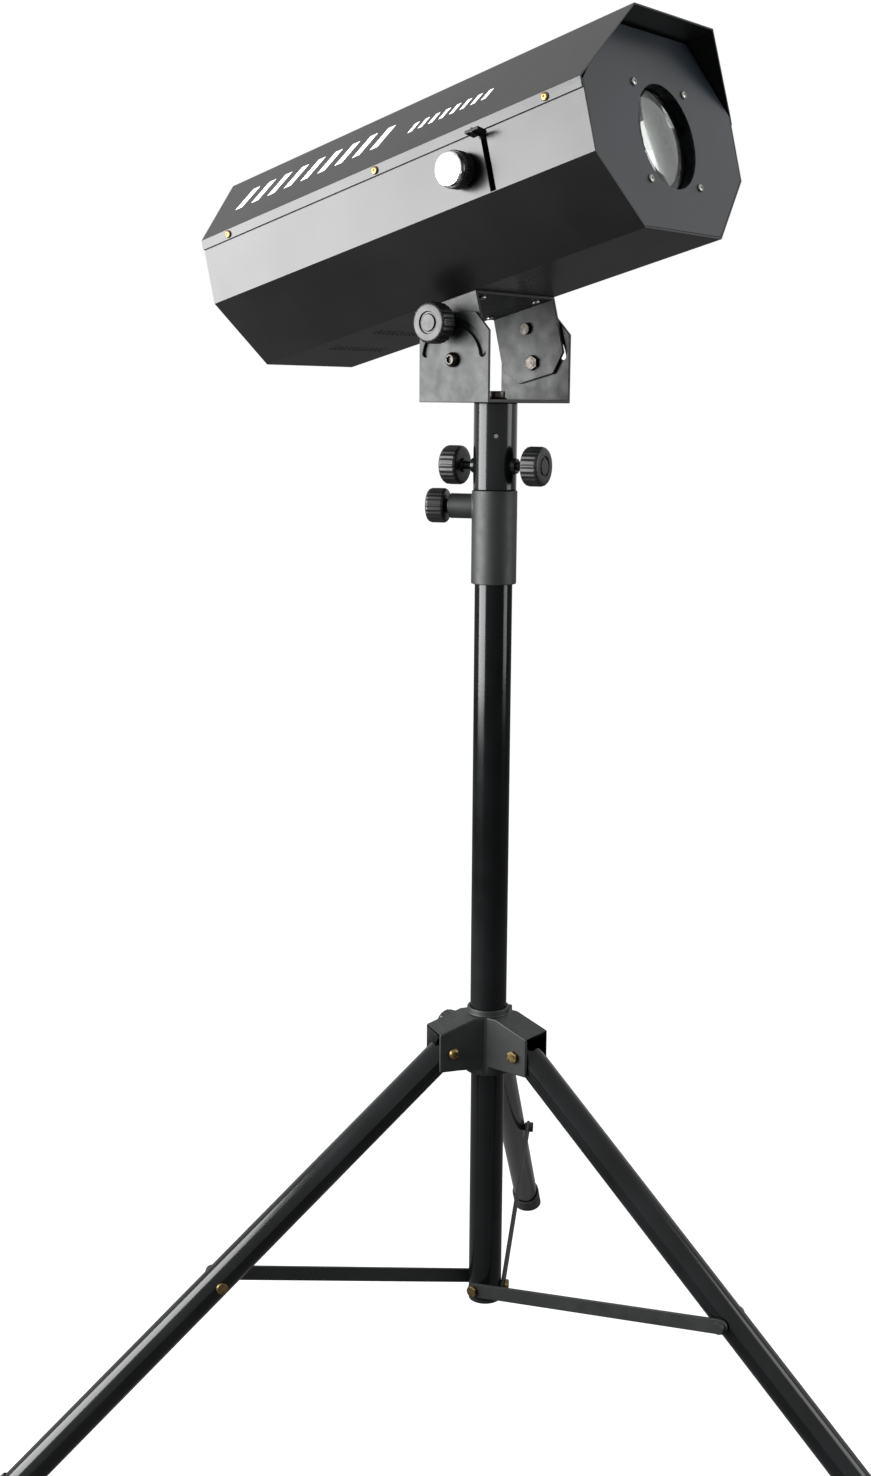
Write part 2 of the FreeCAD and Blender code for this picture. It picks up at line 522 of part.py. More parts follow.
def build_yoke():
    inner = "(dim.yoke_width / 2 - dim.yoke_sheet)"
    outer = "(dim.yoke_width / 2)"
    top = "(dim.pivot_above_yoke_base + dim.yoke_top_above_pivot)"
    bracket = new_body("yoke")
    outline = [(f"0 - {outer}", "0"), (outer, "0"), (outer, top), (inner, top), (inner, "dim.yoke_sheet"),
               (f"0 - {inner}", "dim.yoke_sheet"), (f"0 - {inner}", top), (f"0 - {outer}", top)]
    pad(bracket, body_sketch(bracket, "XZ_Plane", [outline]), "dim.yoke_depth", midplane=True)
    edge = "(dim.yoke_depth / 2)"
    corners = []
    for sign in ("", "0 - "):
        corners.append([(f"{sign}({edge} - dim.yoke_chamfer)", f"{top} + 1"),
                        (f"{sign}({edge} + 1)", f"{top} + 1"),
                        (f"{sign}({edge} + 1)", f"{top} - dim.yoke_chamfer - 1")])
    pocket(bracket, body_sketch(bracket, "YZ_Plane", corners), "dim.yoke_width + 2")
    at(bracket, z=YOKE)
    bolt_hole = rod("dim.yoke_bolt / 2", "dim.yoke_sheet + 2", z=f"{YOKE} - 1")
    pivot_hole = rod("dim.pivot_bolt / 2 + dim.pin_gap", "dim.yoke_width + 2",
                     x="0 - dim.yoke_width / 2 - 1", z=PIVOT, along="x")
    slot_half = "(dim.lock_bolt / 2 + dim.running_gap)"
    band = tube(f"dim.arc_radius + {slot_half}", f"dim.arc_radius - {slot_half}", "dim.yoke_width + 2",
                x="0 - dim.yoke_width / 2 - 1", z=PIVOT, along="x")
    upper = box("dim.yoke_width + 4", "200", "100", z=f"{PIVOT} + dim.arc_radius * cos(dim.arc_half_angle)")
    tools = [bolt_hole, pivot_hole, common(band, upper)]
    for sign in ("", "0 - "):
        tools.append(rod(slot_half, "dim.yoke_width + 2", x="0 - dim.yoke_width / 2 - 1",
                         y=f"{sign}dim.arc_radius * sin(dim.arc_half_angle)",
                         z=f"{PIVOT} + dim.arc_radius * cos(dim.arc_half_angle)", along="x"))
    keep("yoke_bracket", cut(bracket, *tools))
    head = rod("dim.yoke_bolt_head / 2", "dim.yoke_head_height", z=f"{YOKE} + dim.yoke_sheet + dim.washer")
    washer = rod("dim.yoke_bolt", "dim.washer", z=f"{YOKE} + dim.yoke_sheet")
    shank = rod("dim.yoke_bolt / 2", "dim.yoke_sheet + dim.socket_cap + dim.washer - dim.running_gap",
                z=f"{YOKE} - dim.socket_cap + dim.running_gap")
    keep("yoke_bolt", fuse(head, washer, shank))


# Head bracket and tilt joint, drawn level with the origin at the tilt pivot

EAR = "(dim.yoke_width / 2 - dim.yoke_sheet - dim.running_gap)"


def build_head_bracket():
    inner = f"({EAR} - dim.bracket_sheet)"
    low = "(0 - dim.bracket_below_pivot)"
    high = CASE_FLOOR
    bracket = new_body("bracket")
    outline = [(f"0 - {EAR}", low), (f"0 - {inner}", low), (f"0 - {inner}", f"{high} - dim.bracket_sheet"),
               (inner, f"{high} - dim.bracket_sheet"), (inner, low), (EAR, low), (EAR, high),
               (f"0 - {EAR}", high)]
    pad(bracket, body_sketch(bracket, "XZ_Plane", [outline]), "dim.bracket_depth", midplane=True)
    edge = "(dim.bracket_depth / 2)"
    corners = []
    for sign in ("", "0 - "):
        corners.append([(f"{sign}({edge} - dim.bracket_chamfer)", f"{low} - 1"),
                        (f"{sign}({edge} + 1)", f"{low} - 1"),
                        (f"{sign}({edge} + 1)", f"{low} + dim.bracket_chamfer + 1")])
    pocket(bracket, body_sketch(bracket, "YZ_Plane", corners), "dim.yoke_width")
    through = f"2 * {EAR} + 2"
    pivot_hole = rod("dim.pivot_bolt / 2", through, x=f"0 - {EAR} - 1", along="x")
    near_hole = rod("dim.lock_bolt / 2 + dim.pin_gap", EAR, x=f"0 - {EAR} - 1", z="dim.arc_radius",
                    along="x")
    far_hole = rod("dim.lock_bolt / 2", EAR, x="2", z="dim.arc_radius", along="x")
    holes = [rod("dim.screw_shank / 2", "dim.bracket_sheet + 2", x=x_at, y=y_at,
                 z=f"{high} - dim.bracket_sheet - 1")
             for x_at, y_at in bracket_screw_places()]
    on_head("head_bracket", cut(bracket, pivot_hole, near_hole, far_hole, *holes))


def bracket_screw_places():
    return [(f"{side} * dim.bracket_screw_x", f"{end} * dim.bracket_screw_y")
            for side in (-1, 1) for end in (-1, 1)]


def build_tilt_hardware():
    bolts = []
    for angle in (0, 180):
        inside = f"{EAR} - dim.bracket_sheet"
        outside = "dim.yoke_width / 2 + dim.running_gap"
        shank = rod("dim.pivot_bolt / 2", f"{outside} + dim.pivot_nut_height - ({inside})", x=inside,
                    along="x")
        head = rod("dim.pivot_nut / 2", "dim.bolt_head_height", x=f"{inside} - dim.bolt_head_height",
                   along="x")
        nut = rod("dim.pivot_nut / 2", "dim.pivot_nut_height", x=outside, along="x")
        bolts.append(at(fuse(shank, head, nut), angle=angle))
    on_head("pivot_bolts", *bolts)
    inside = f"{EAR} - dim.bracket_sheet"
    outside = "dim.yoke_width / 2 + dim.running_gap"
    screw = rod("dim.lock_bolt / 2", f"{outside} + dim.pivot_nut_height - ({inside})", x=inside,
                z="dim.arc_radius", along="x")
    head = rod("dim.bolt_head / 2", "dim.bolt_head_height", x=f"{inside} - dim.bolt_head_height",
               z="dim.arc_radius", along="x")
    washer = rod("dim.lock_washer / 2", "dim.bolt_head_height", x=outside, z="dim.arc_radius", along="x")
    on_head("far_lock_bolt", fuse(screw, head, washer))
    start = f"{outside} + dim.knob_stand_off"
    disc = clamp_knob("dim.knob_diameter", start)
    neck = rod("dim.tilt_neck / 2", "dim.knob_stand_off + dim.neck_length", outside, along="x")
    inner_face = f"({inside} - dim.running_gap)"
    screw = rod("dim.lock_bolt / 2", f"{start} + dim.neck_length - {inner_face}", inner_face, along="x")
    inner_end = rod("dim.bolt_head / 2", "dim.bolt_head_height", f"{inner_face} - dim.bolt_head_height",
                    along="x")
    whole = cut(fuse(disc, neck, screw, inner_end), face_recess(f"{start} + dim.knob_length"))
    knob = at(whole, z="dim.arc_radius", angle=180)
    on_head("tilt_lock_knob", knob)
    screws = [fuse(rod("dim.screw_head / 2", "dim.screw_head_height", x=x_at, y=y_at,
                       z=f"{CASE_FLOOR} - dim.bracket_sheet - dim.screw_head_height"),
                   rod("dim.screw_shank / 2", "dim.bracket_sheet + dim.bracket_screw_reach", x=x_at, y=y_at,
                       z=f"{CASE_FLOOR} - dim.bracket_sheet"))
              for x_at, y_at in bracket_screw_places()]
    on_head("bracket_screws", *screws)


# Head casing

INSET = "(dim.shell_sheet + dim.cover_gap)"
FLOOR = f"({CASE_FLOOR} + dim.shell_sheet)"
SEAM = f"({MIDDLE} + dim.seam_above_centre)"


def build_lower_shell():
    shell = new_body("shell")
    edge = f"({SEAM} + dim.seam_lap)"
    outer, _ = octagon(INSET, top=False)
    inner, _ = octagon(f"{INSET} + dim.shell_sheet", top=False)
    left_out, low_left_out, low_right_out, right_out = outer
    left_in, low_left_in, low_right_in, right_in = inner
    outline = [(left_out[0], edge), left_out, low_left_out, low_right_out, right_out, (right_out[0], edge),
               (right_in[0], edge), right_in, low_right_in, low_left_in, left_in, (left_in[0], edge)]
    pad(shell, body_sketch(shell, "XZ_Plane", [outline]), "dim.head_length")
    at(shell, y=REAR)
    tools = [rod("dim.screw_shank / 2", "dim.shell_sheet * 4", x=x_at, y=y_at, z="dim.head_above_pivot - 1")
             for x_at, y_at in bracket_screw_places()]
    tools += side_holes()
    slots = round(read("dim.vent_slots"))
    for from_front in ("dim.vent_front_row", "dim.vent_rear_row"):
        for index in range(slots):
            offset = f"({index} - ({slots} - 1) / 2) * dim.vent_row_width / ({slots} - 1)"
            tools.append(box("dim.vent_slot", "dim.vent_length", "4 * dim.shell_sheet", x=offset,
                             y=f"{FRONT} + {from_front}", z="dim.head_above_pivot"))
    lever_rise = f"((dim.head_width / 2) * sin(dim.iris_sweep / 2) + dim.lever_height)"
    lever_slot = box("4 * dim.shell_sheet", "dim.lever_slot", f"2 * {lever_rise}",
                     x=f"0 - dim.head_width / 2 + {INSET}", y=IRIS_Y, z=f"{OPTIC} - {lever_rise}")
    shaft = rod("dim.dimmer_bushing", "dim.head_width / 2", x="0 - dim.head_width / 2 - dim.dimmer_bushing",
                y=DIMMER_Y, z=OPTIC, along="x")
    tools += [lever_slot, shaft]
    on_head("lower_shell", cut(shell, *tools))


IRIS_Y = f"({FRONT} + dim.iris_behind_front)"
DIMMER_Y = f"({FRONT} + dim.dimmer_behind_front)"


def build_top_cover():
    cover = new_body("cover")
    _, outer = octagon("0", top=False)
    _, inner = octagon("dim.shell_sheet", top=False)
    right_out, high_right_out, high_left_out, left_out = outer
    right_in, high_right_in, high_left_in, left_in = inner
    outline = [(right_out[0], SEAM), right_out, high_right_out, high_left_out, left_out,
               (left_out[0], SEAM), (left_in[0], SEAM), left_in, high_left_in, high_right_in, right_in,
               (right_in[0], SEAM)]
    pad(cover, body_sketch(cover, "XZ_Plane", [outline]), "dim.head_length + dim.visor")
    at(cover, y=REAR)
    top = "(dim.head_above_pivot + dim.head_height)"
    knee = f"({top} - dim.head_corner)"
    front = "(0 - dim.head_length)"
    visor = "(0 - dim.head_length - dim.visor)"
    below = f"{SEAM} - dim.seam_lap"
    wedge = [(f"2 * {visor}", below), (front, below), (front, knee), (visor, top), (f"2 * {visor}", top)]
    pocket(cover, body_sketch(cover, "YZ_Plane", [wedge]), "2 * dim.head_width")
    on_head("top_cover", cut(cover, *side_holes()))


def side_screw_places():
    """Turn about z, place along y and height of each screw in the cover's flanges."""
    height = f"{SEAM} + dim.cover_screw_above_seam"
    places = ("dim.cover_screw_inset", "dim.head_length / 2", "dim.head_length - dim.cover_screw_inset")
    return [(turn, f"{FRONT} + {behind}", height) for turn in (0, 180) for behind in places]


def side_holes():
    reach = "2 * dim.cover_screw_reach"
    return [at(group(rod("dim.screw_shank / 2", reach, x=f"dim.head_width / 2 - dim.cover_screw_reach",
                         along="x")),
               y=y_at, z=z_at, angle=turn) for turn, y_at, z_at in side_screw_places()]


def build_cover_screws():
    screws = []
    surface = "dim.head_width / 2"
    for turn, y_at, z_at in side_screw_places():
        screw = fuse(rod("dim.screw_head / 2", "dim.screw_head_height", x=surface, along="x"),
                     rod("dim.screw_shank / 2", "dim.cover_screw_reach + dim.screw_head_height / 2",
                         x=f"{surface} - dim.cover_screw_reach", along="x"))
        screws.append(at(screw, y=y_at, z=z_at, angle=turn))
    on_head("cover_screws", *screws)


def plate_body(label_name, inset):
    plate = new_body(label_name)
    pad(plate, body_sketch(plate, "XZ_Plane", [octagon(inset)]), "dim.plate_sheet")
    return plate


PLATE_INSET = f"({INSET} + dim.shell_sheet + dim.cover_gap)"


def lens_screw_places():
    half = "dim.lens_screw_pitch / 2"
    return [(f"{across} * {half}", f"{OPTIC} + ({up}) * {half}") for across in (-1, 1) for up in (-1, 1)]


def build_front_plate():
    plate = at(plate_body("front", PLATE_INSET), y=f"{FRONT} + dim.plate_sheet")
    opening = rod("dim.aperture / 2", "3 * dim.plate_sheet", y=f"{FRONT} - dim.plate_sheet", z=OPTIC,
                  along="y")
    holes = [rod("dim.screw_shank / 2", "3 * dim.plate_sheet", x=x_at, y=f"{FRONT} - dim.plate_sheet",
                 z=z_at, along="y")
             for x_at, z_at in lens_screw_places()]
    on_head("front_plate", cut(plate, opening, *holes))
    screws = [fuse(rod("dim.screw_head / 2", "dim.screw_head_height", x=x_at,
                       y=f"{FRONT} - dim.screw_head_height", z=z_at, along="y"),
                   rod("dim.screw_shank / 2", "dim.plate_sheet + dim.lens_screw_reach", x=x_at, y=FRONT,
                       z=z_at, along="y"))
              for x_at, z_at in lens_screw_places()]
    on_head("lens_screws", *screws)


def build_rear_plate():
    plate = at(plate_body("rear", PLATE_INSET), y=BACK)
    deep = "4 * dim.plate_sheet"
    count = round(read("dim.grille_slots"))
    tools = []
    for index in range(count):
        tools.append(box("dim.grille_slot", deep, "dim.grille_height",
                         x=f"({index} - ({count} - 1) / 2) * dim.grille_pitch", y=BACK,
                         z=f"{OPTIC} - dim.grille_height / 6"))
    for x_at, wide, high in ((INLET_X, "dim.inlet_width", "dim.inlet_height"),
                             (SWITCH_X, "dim.switch_width", "dim.switch_height")):
        tools.append(box(f"{wide} + 2 * dim.cover_gap", deep, f"{high} + 2 * dim.cover_gap", x=x_at, y=BACK,
                         z=f"{INLET_Z} - {high} / 2 - dim.cover_gap"))
    on_head("rear_plate", cut(plate, *tools))


BACK = f"({REAR} - dim.rear_recess)"
INLET_X = "(0 - dim.inlet_across)"
SWITCH_X = "dim.inlet_across"
INLET_Z = "(dim.head_above_pivot + dim.inlet_above_floor)"


def lens_sag(diameter):
    """Height of the lens's rounded face over a circle of this diameter."""
    return f"(dim.lens_curve - sqrt(dim.lens_curve * dim.lens_curve - {diameter} * {diameter} / 4))"


def lens_solid(diameter, y_front):
    """Plano-convex lens with its rounded face to the front and its crown at y_front."""
    disc = rod(f"{diameter} / 2", f"dim.lens_edge + {lens_sag(diameter)}", y=y_front, z=OPTIC, along="y")
    sphere = doc.addObject("Part::Sphere", "ball")
    bind(sphere, {"Radius": "dim.lens_curve"})
    at(sphere, y=f"({y_front}) + dim.lens_curve", z=OPTIC)
    return common(disc, sphere)


def build_optics():
    mount_front = f"({FRONT} + dim.plate_sheet)"
    depth = f"(dim.lens_inset + dim.lens_edge + {lens_sag('dim.lens_diameter')})"
    mount = box("dim.lens_mount_width", depth, "dim.lens_mount_width", y=f"{mount_front} + {depth} / 2",
                z=f"{OPTIC} - dim.lens_mount_width / 2 + dim.lens_mount_rise")
    through = rod("dim.aperture / 2", f"3 * {depth}", y=f"{mount_front} - {depth}", z=OPTIC, along="y")
    seat = rod("dim.lens_diameter / 2 + dim.cover_gap", f"2 * {depth}",
               y=f"{mount_front} + dim.lens_inset + {lens_sag('dim.aperture')}", z=OPTIC, along="y")
    threads = [rod("dim.screw_shank / 2", "dim.lens_screw_reach", x=x_at, y=mount_front, z=z_at, along="y")
               for x_at, z_at in lens_screw_places()]
    on_head("lens_mount", cut(mount, through, seat, *threads))
    on_head("front_lens", lens_solid("dim.lens_diameter", f"{mount_front} + dim.lens_inset"))
    keeper = tube("dim.lens_diameter / 2 + dim.keeper_wall", "dim.lens_diameter / 2 - dim.plate_sheet",
                  "dim.plate_sheet", y=f"{mount_front} + {depth}", z=OPTIC, along="y")
    on_head("lens_retainer", keeper)


def bulkhead(label, behind, bore):
    """Upright plate with a foot that is screwed to the floor of the casing."""
    floor = FLOOR
    thickness = "dim.bulkhead_sheet"
    width = f"(dim.head_width - 2 * dim.head_corner - 2 * {INSET} - 2 * dim.shell_sheet)"
    y_at = f"({FRONT} + {behind})"
    upright = box(width, thickness, f"{OPTIC} + dim.bulkhead_rise - {floor}", y=y_at, z=floor)
    foot = box(width, "dim.bulkhead_foot", thickness, y=f"{y_at} + dim.bulkhead_foot / 2", z=floor)
    hole = rod(bore, f"4 * {thickness}", y=f"{y_at} - 2 * {thickness}", z=OPTIC, along="y")
    return on_head(label, cut(fuse(upright, foot), hole))


def build_iris():
    bulkhead("iris_plate", "dim.iris_behind_front + (dim.iris_depth + dim.bulkhead_sheet) / 2",
             "dim.iris_bore / 2")
    inner = "dim.iris_bore / 2 + dim.iris_neck_wall"
    housing = tube("dim.iris_radius", "dim.iris_bore / 2", "dim.iris_depth",
                   y=f"{IRIS_Y} - dim.iris_depth / 2", z=OPTIC, along="y")
    groove = tube("2 * dim.iris_radius", inner, "dim.iris_groove", y=f"{IRIS_Y} - dim.iris_groove / 2",
                  z=OPTIC, along="y")
    on_head("iris_housing", cut(housing, groove))
    ring_radius = "(dim.iris_radius - dim.iris_ring)"
    ring = tube(ring_radius, f"{inner} + dim.running_gap", "dim.iris_ring", y="0 - dim.iris_ring / 2",
                along="y")
    tip = "(dim.head_width / 2 + dim.lever_reach)"
    start = f"({ring_radius} - dim.lever_height)"
    arm = box(f"{tip} - {start}", "dim.lever_width", "dim.lever_height", x=f"0 - ({tip} + {start}) / 2",
              z="0 - dim.lever_height / 2")
    tab_length = "(dim.lever_reach * 3 / 4)"
    tab = box(tab_length, "dim.lever_tab", "dim.iris_ring", x=f"0 - {tip} + {tab_length} / 2",
              z="0 - dim.iris_ring / 2")
    lever = at(fuse(ring, arm, tab), y=IRIS_Y, z=OPTIC, axis=(0, 1, 0), angle="dim.iris_sweep / 2")
    on_head("iris_lever", lever)


def build_light_engine():
    bulkhead("condenser_plate", "dim.condenser_behind_front", "dim.condenser_diameter / 2 - dim.lens_lip")
    back = f"({FRONT} + dim.condenser_behind_front + dim.bulkhead_sheet / 2)"
    cell = tube("dim.condenser_diameter / 2 + dim.cell_wall", "dim.condenser_diameter / 2 + dim.cover_gap",
                "dim.cell_depth", y=back, z=OPTIC, along="y")
    on_head("condenser_cell", cell)
    on_head("condenser_lens", lens_solid("dim.condenser_diameter", back))
    board = box("dim.led_board", "dim.led_sheet", "dim.led_board", y=f"{LED_Y} - dim.led_sheet / 2",
                z=f"{OPTIC} - dim.led_board / 2")
    emitter = rod("dim.led_emitter / 2", "dim.led_sheet", y=f"{LED_Y} - 2 * dim.led_sheet", z=OPTIC,
                  along="y")
    on_head("led_module", fuse(board, emitter))


LED_Y = f"({FRONT} + dim.led_behind_front)"
FAN_Y = f"({LED_Y} + dim.sink_depth)"


def build_cooling():
    base = box("dim.sink_width", "dim.sink_base", f"{OPTIC} + dim.sink_height / 2 - {FLOOR}",
               y=f"{LED_Y} + dim.sink_base / 2", z=FLOOR)
    count = round(read("dim.sink_fins"))
    fin_depth = "(dim.sink_depth - dim.sink_base / 2)"
    fins = []
    for index in range(count):
        fins.append(box("dim.fin_thickness", fin_depth, "dim.sink_height",
                        x=f"({index} / ({count} - 1) - 0.5) * (dim.sink_width - dim.fin_thickness)",
                        y=f"{FAN_Y} - {fin_depth} / 2", z=f"{OPTIC} - dim.sink_height / 2"))
    on_head("heat_sink", fuse(base, *fins))
    build_fan_frame()
    build_fan_rotor()


def build_fan_frame():
    frame = box("dim.fan_size", "dim.fan_depth", "dim.fan_size", y=f"{FAN_Y} + dim.fan_depth / 2",
                z=f"{OPTIC} - dim.fan_size / 2")
    duct = rod("dim.fan_size / 2 - dim.fan_wall", "3 * dim.fan_depth", y=f"{FAN_Y} - dim.fan_depth",
               z=OPTIC, along="y")
    hub_front = f"({FAN_Y} + dim.fan_depth - dim.fan_hub_depth)"
    hub = rod("dim.fan_hub_radius", "dim.fan_hub_depth", y=hub_front, z=OPTIC, along="y")
    pin_length = "(dim.rotor_depth - 2 * dim.fan_hub_depth / 2 + dim.blade_tip_gap)"
    pin_rod = rod("dim.fan_pin_radius", pin_length, y=f"{hub_front} - {pin_length}", z=OPTIC, along="y")
    spokes = []
    for angle in (45, 135):
        spoke = box("dim.fan_size - dim.fan_wall", "dim.fan_spoke", "dim.fan_hub_depth",
                    z="0 - dim.fan_hub_depth / 2")
        spokes.append(at(group(spoke), y=f"{hub_front} + dim.fan_hub_depth / 2", z=OPTIC, axis=(0, 1, 0),
                         angle=angle))
    on_head("fan_frame", fuse(cut(frame, duct), hub, pin_rod, *spokes))


def build_fan_rotor():
    tip = "(dim.fan_size / 2 - dim.fan_wall - dim.blade_tip_gap)"
    root = "(dim.rotor_radius - dim.blade_sheet)"
    blades = []
    for index in range(round(read("dim.fan_blades"))):
        blade = box(f"{tip} - {root}", "dim.blade_chord", "dim.blade_sheet", x=f"({tip} + {root}) / 2",
                    z="0 - dim.blade_sheet / 2")
        twist = at(group(blade), axis=(1, 0, 0), angle="dim.blade_twist")
        blades.append(at(group(twist), axis=(0, 1, 0), angle=f"{index} * 360 / dim.fan_blades"))
    core = rod("dim.rotor_radius", "dim.rotor_depth", y="0 - dim.rotor_depth / 2", along="y")
    bore = rod("dim.fan_pin_radius + dim.pin_gap", "dim.rotor_depth",
               y="0 - dim.rotor_depth / 2 + dim.blade_sheet", along="y")
    middle = f"{FAN_Y} + dim.rotor_inset + dim.rotor_depth / 2"
    on_head("fan_rotor", at(cut(fuse(core, *blades), bore), y=middle, z=OPTIC))


def build_supply():
    y_at = f"({REAR} - dim.supply_from_rear - dim.supply_depth / 2)"
    case = box("dim.supply_width", "dim.supply_depth", "dim.supply_height", y=y_at, z=FLOOR)
    on_head("power_supply", case)


def build_inlet():
    wide = "dim.inlet_width"
    high = "dim.inlet_height"
    rim_out = "(dim.inlet_rim + dim.cover_gap)"
    inlet = box(wide, "dim.inlet_depth", high, x=INLET_X, y=f"{BACK} - dim.inlet_depth / 2",
                z=f"{INLET_Z} - {high} / 2")
    rim = box(f"{wide} + 2 * {rim_out}", "dim.inlet_rim", f"{high} + 2 * {rim_out}", x=INLET_X,
              y=f"{BACK} + dim.inlet_rim / 2", z=f"{INLET_Z} - {high} / 2 - {rim_out}")
    depth = "(dim.inlet_depth - dim.inlet_wall)"
    mouth = box(f"{wide} - 2 * dim.inlet_wall", depth, f"{high} - 2 * dim.inlet_wall", x=INLET_X,
                y=f"{BACK} + dim.inlet_rim - {depth} / 2", z=f"{INLET_Z} - {high} / 2 + dim.inlet_wall")
    pins = [box("dim.inlet_wall", f"{depth} - dim.inlet_rim", f"{high} / 4",
                x=f"{INLET_X} + {step} * {wide} / 4", y=f"{BACK} - {depth} / 2",
                z=f"{INLET_Z} - {high} / 8")
            for step in (-1, 0, 1)]
    on_head("mains_inlet", fuse(cut(fuse(inlet, rim), mouth), *pins))


def build_switch():
    wide = "dim.switch_width"
    high = "dim.switch_height"
    rim_out = "(dim.inlet_rim + dim.cover_gap)"
    housing = box(wide, "dim.switch_depth", high, x=SWITCH_X, y=f"{BACK} - dim.switch_depth / 2",
                  z=f"{INLET_Z} - {high} / 2")
    flange = box(f"{wide} + 2 * {rim_out}", "dim.switch_wall", f"{high} + 2 * {rim_out}", x=SWITCH_X,
                 y=f"{BACK} + dim.switch_wall / 2", z=f"{INLET_Z} - {high} / 2 - {rim_out}")
    well_wide = f"({wide} - 2 * dim.switch_wall)"
    well = box(well_wide, "dim.switch_depth", f"{high} - 2 * dim.switch_wall", x=SWITCH_X,
               y=f"{BACK} - dim.switch_depth / 2 + dim.switch_depth / 4",
               z=f"{INLET_Z} - {high} / 2 + dim.switch_wall")
    on_head("switch_housing", cut(fuse(housing, flange), well))
    across = f"({well_wide} - 2 * dim.running_gap)"
    disc = rod("dim.rocker_radius", across, x=f"0 - {across} / 2", along="x")
    trim = box("2 * dim.rocker_radius", "dim.rocker_radius + dim.switch_wall",
               f"{high} - 4 * dim.switch_wall", y="dim.rocker_radius / 2 - dim.switch_wall / 2",
               z=f"0 - {high} / 2 + 2 * dim.switch_wall")
    on_head("power_rocker", at(common(disc, trim), x=SWITCH_X, y=ROCKER_Y, z=INLET_Z, axis=(1, 0, 0),
                               angle="dim.rocker_tilt"))


ROCKER_Y = f"({BACK} + dim.rear_recess - dim.rocker_radius + dim.cover_gap)"


def build_dimmer():
    surface = f"(dim.head_width / 2 - {INSET})"
    inside = f"({surface} - dim.shell_sheet)"
    pot = rod("dim.dimmer_body_radius", "dim.dimmer_body_depth", x=f"{inside} - dim.dimmer_body_depth",
              along="x")
    bushing = rod("dim.dimmer_bushing - dim.pin_gap", "dim.shell_sheet + dim.dimmer_bushing", x=inside,
                  along="x")
    seat = rod("dim.dimmer_spindle_radius + dim.pin_gap", "dim.head_width / 2",
               x=f"{inside} - dim.dimmer_body_depth * 2 / 3", along="x")
    on_head("dimmer_control", at(cut(fuse(pot, bushing), seat), y=DIMMER_Y, z=OPTIC, angle=180))
    start = f"({surface} + dim.dimmer_bushing + dim.running_gap)"
    disc = clamp_knob("dim.dimmer_diameter", start, length="dim.dimmer_length")
    tail = f"({inside} - dim.dimmer_body_depth / 2)"
    spindle = rod("dim.dimmer_spindle_radius", f"{start} - {tail} + dim.neck_length", x=tail, along="x")
    on_head("dimmer_knob", at(fuse(disc, spindle), y=DIMMER_Y, z=OPTIC, angle=180))


for builder in (build_yoke, build_head_bracket, build_tilt_hardware, build_lower_shell, build_top_cover,
                build_cover_screws, build_front_plate, build_rear_plate, build_optics, build_iris,
                build_light_engine, build_cooling, build_supply, build_inlet, build_switch, build_dimmer):
    builder()


doc.recompute()
for obj in doc.Objects:
    if "Invalid" in obj.State or "Error" in obj.State:
        raise RuntimeError(f"{obj.Label} failed: {obj.State}")
os.makedirs("parts", exist_ok=True)
for node in nodes:
    if node.Shape.isNull() or not node.Shape.isValid():
        raise RuntimeError(f"{node.Label} has no sound shape")
    node.Shape.exportStep(f"parts/{node.Label}.step")
    print(node.Label, len(node.Shape.Solids), round(node.Shape.Volume))
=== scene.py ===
# Looks of the follow spot: finishes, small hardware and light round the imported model.
import json
import math

import bmesh
import bpy
from mathutils import Matrix, Vector


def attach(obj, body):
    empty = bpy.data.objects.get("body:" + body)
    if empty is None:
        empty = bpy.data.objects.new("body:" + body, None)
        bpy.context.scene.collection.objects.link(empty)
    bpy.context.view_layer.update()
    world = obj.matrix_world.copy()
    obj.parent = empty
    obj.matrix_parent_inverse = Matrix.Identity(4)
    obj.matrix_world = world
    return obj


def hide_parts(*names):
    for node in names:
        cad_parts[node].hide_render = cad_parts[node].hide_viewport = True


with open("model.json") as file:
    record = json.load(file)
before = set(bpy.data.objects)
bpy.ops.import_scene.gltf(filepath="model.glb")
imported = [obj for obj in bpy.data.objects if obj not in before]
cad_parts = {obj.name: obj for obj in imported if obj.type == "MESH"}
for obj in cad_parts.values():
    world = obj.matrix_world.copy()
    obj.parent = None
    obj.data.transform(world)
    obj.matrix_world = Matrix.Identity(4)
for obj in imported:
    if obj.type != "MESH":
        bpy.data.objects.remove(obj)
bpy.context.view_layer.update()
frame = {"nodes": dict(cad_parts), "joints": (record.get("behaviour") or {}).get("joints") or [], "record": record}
nodes = frame["nodes"]
jointByName = {joint["name"]: joint for joint in frame["joints"]}
print("frame loaded:", len(nodes), "nodes")

# Camera

cameraPlace = {
    "position": (-1.34841, -0.98448, 1.00668),  # metres
    "right": (0.61499, -0.78854, 0),
    "forward": (0.78854, 0.61499, 0),
    "pitchDown": 10.4211,  # degrees
    "roll": 0.38114,
    "focalPixels": 1797.81,
    "imageHeight": 1476,
    "sensor": 36,  # millimetres along the image's long side
}


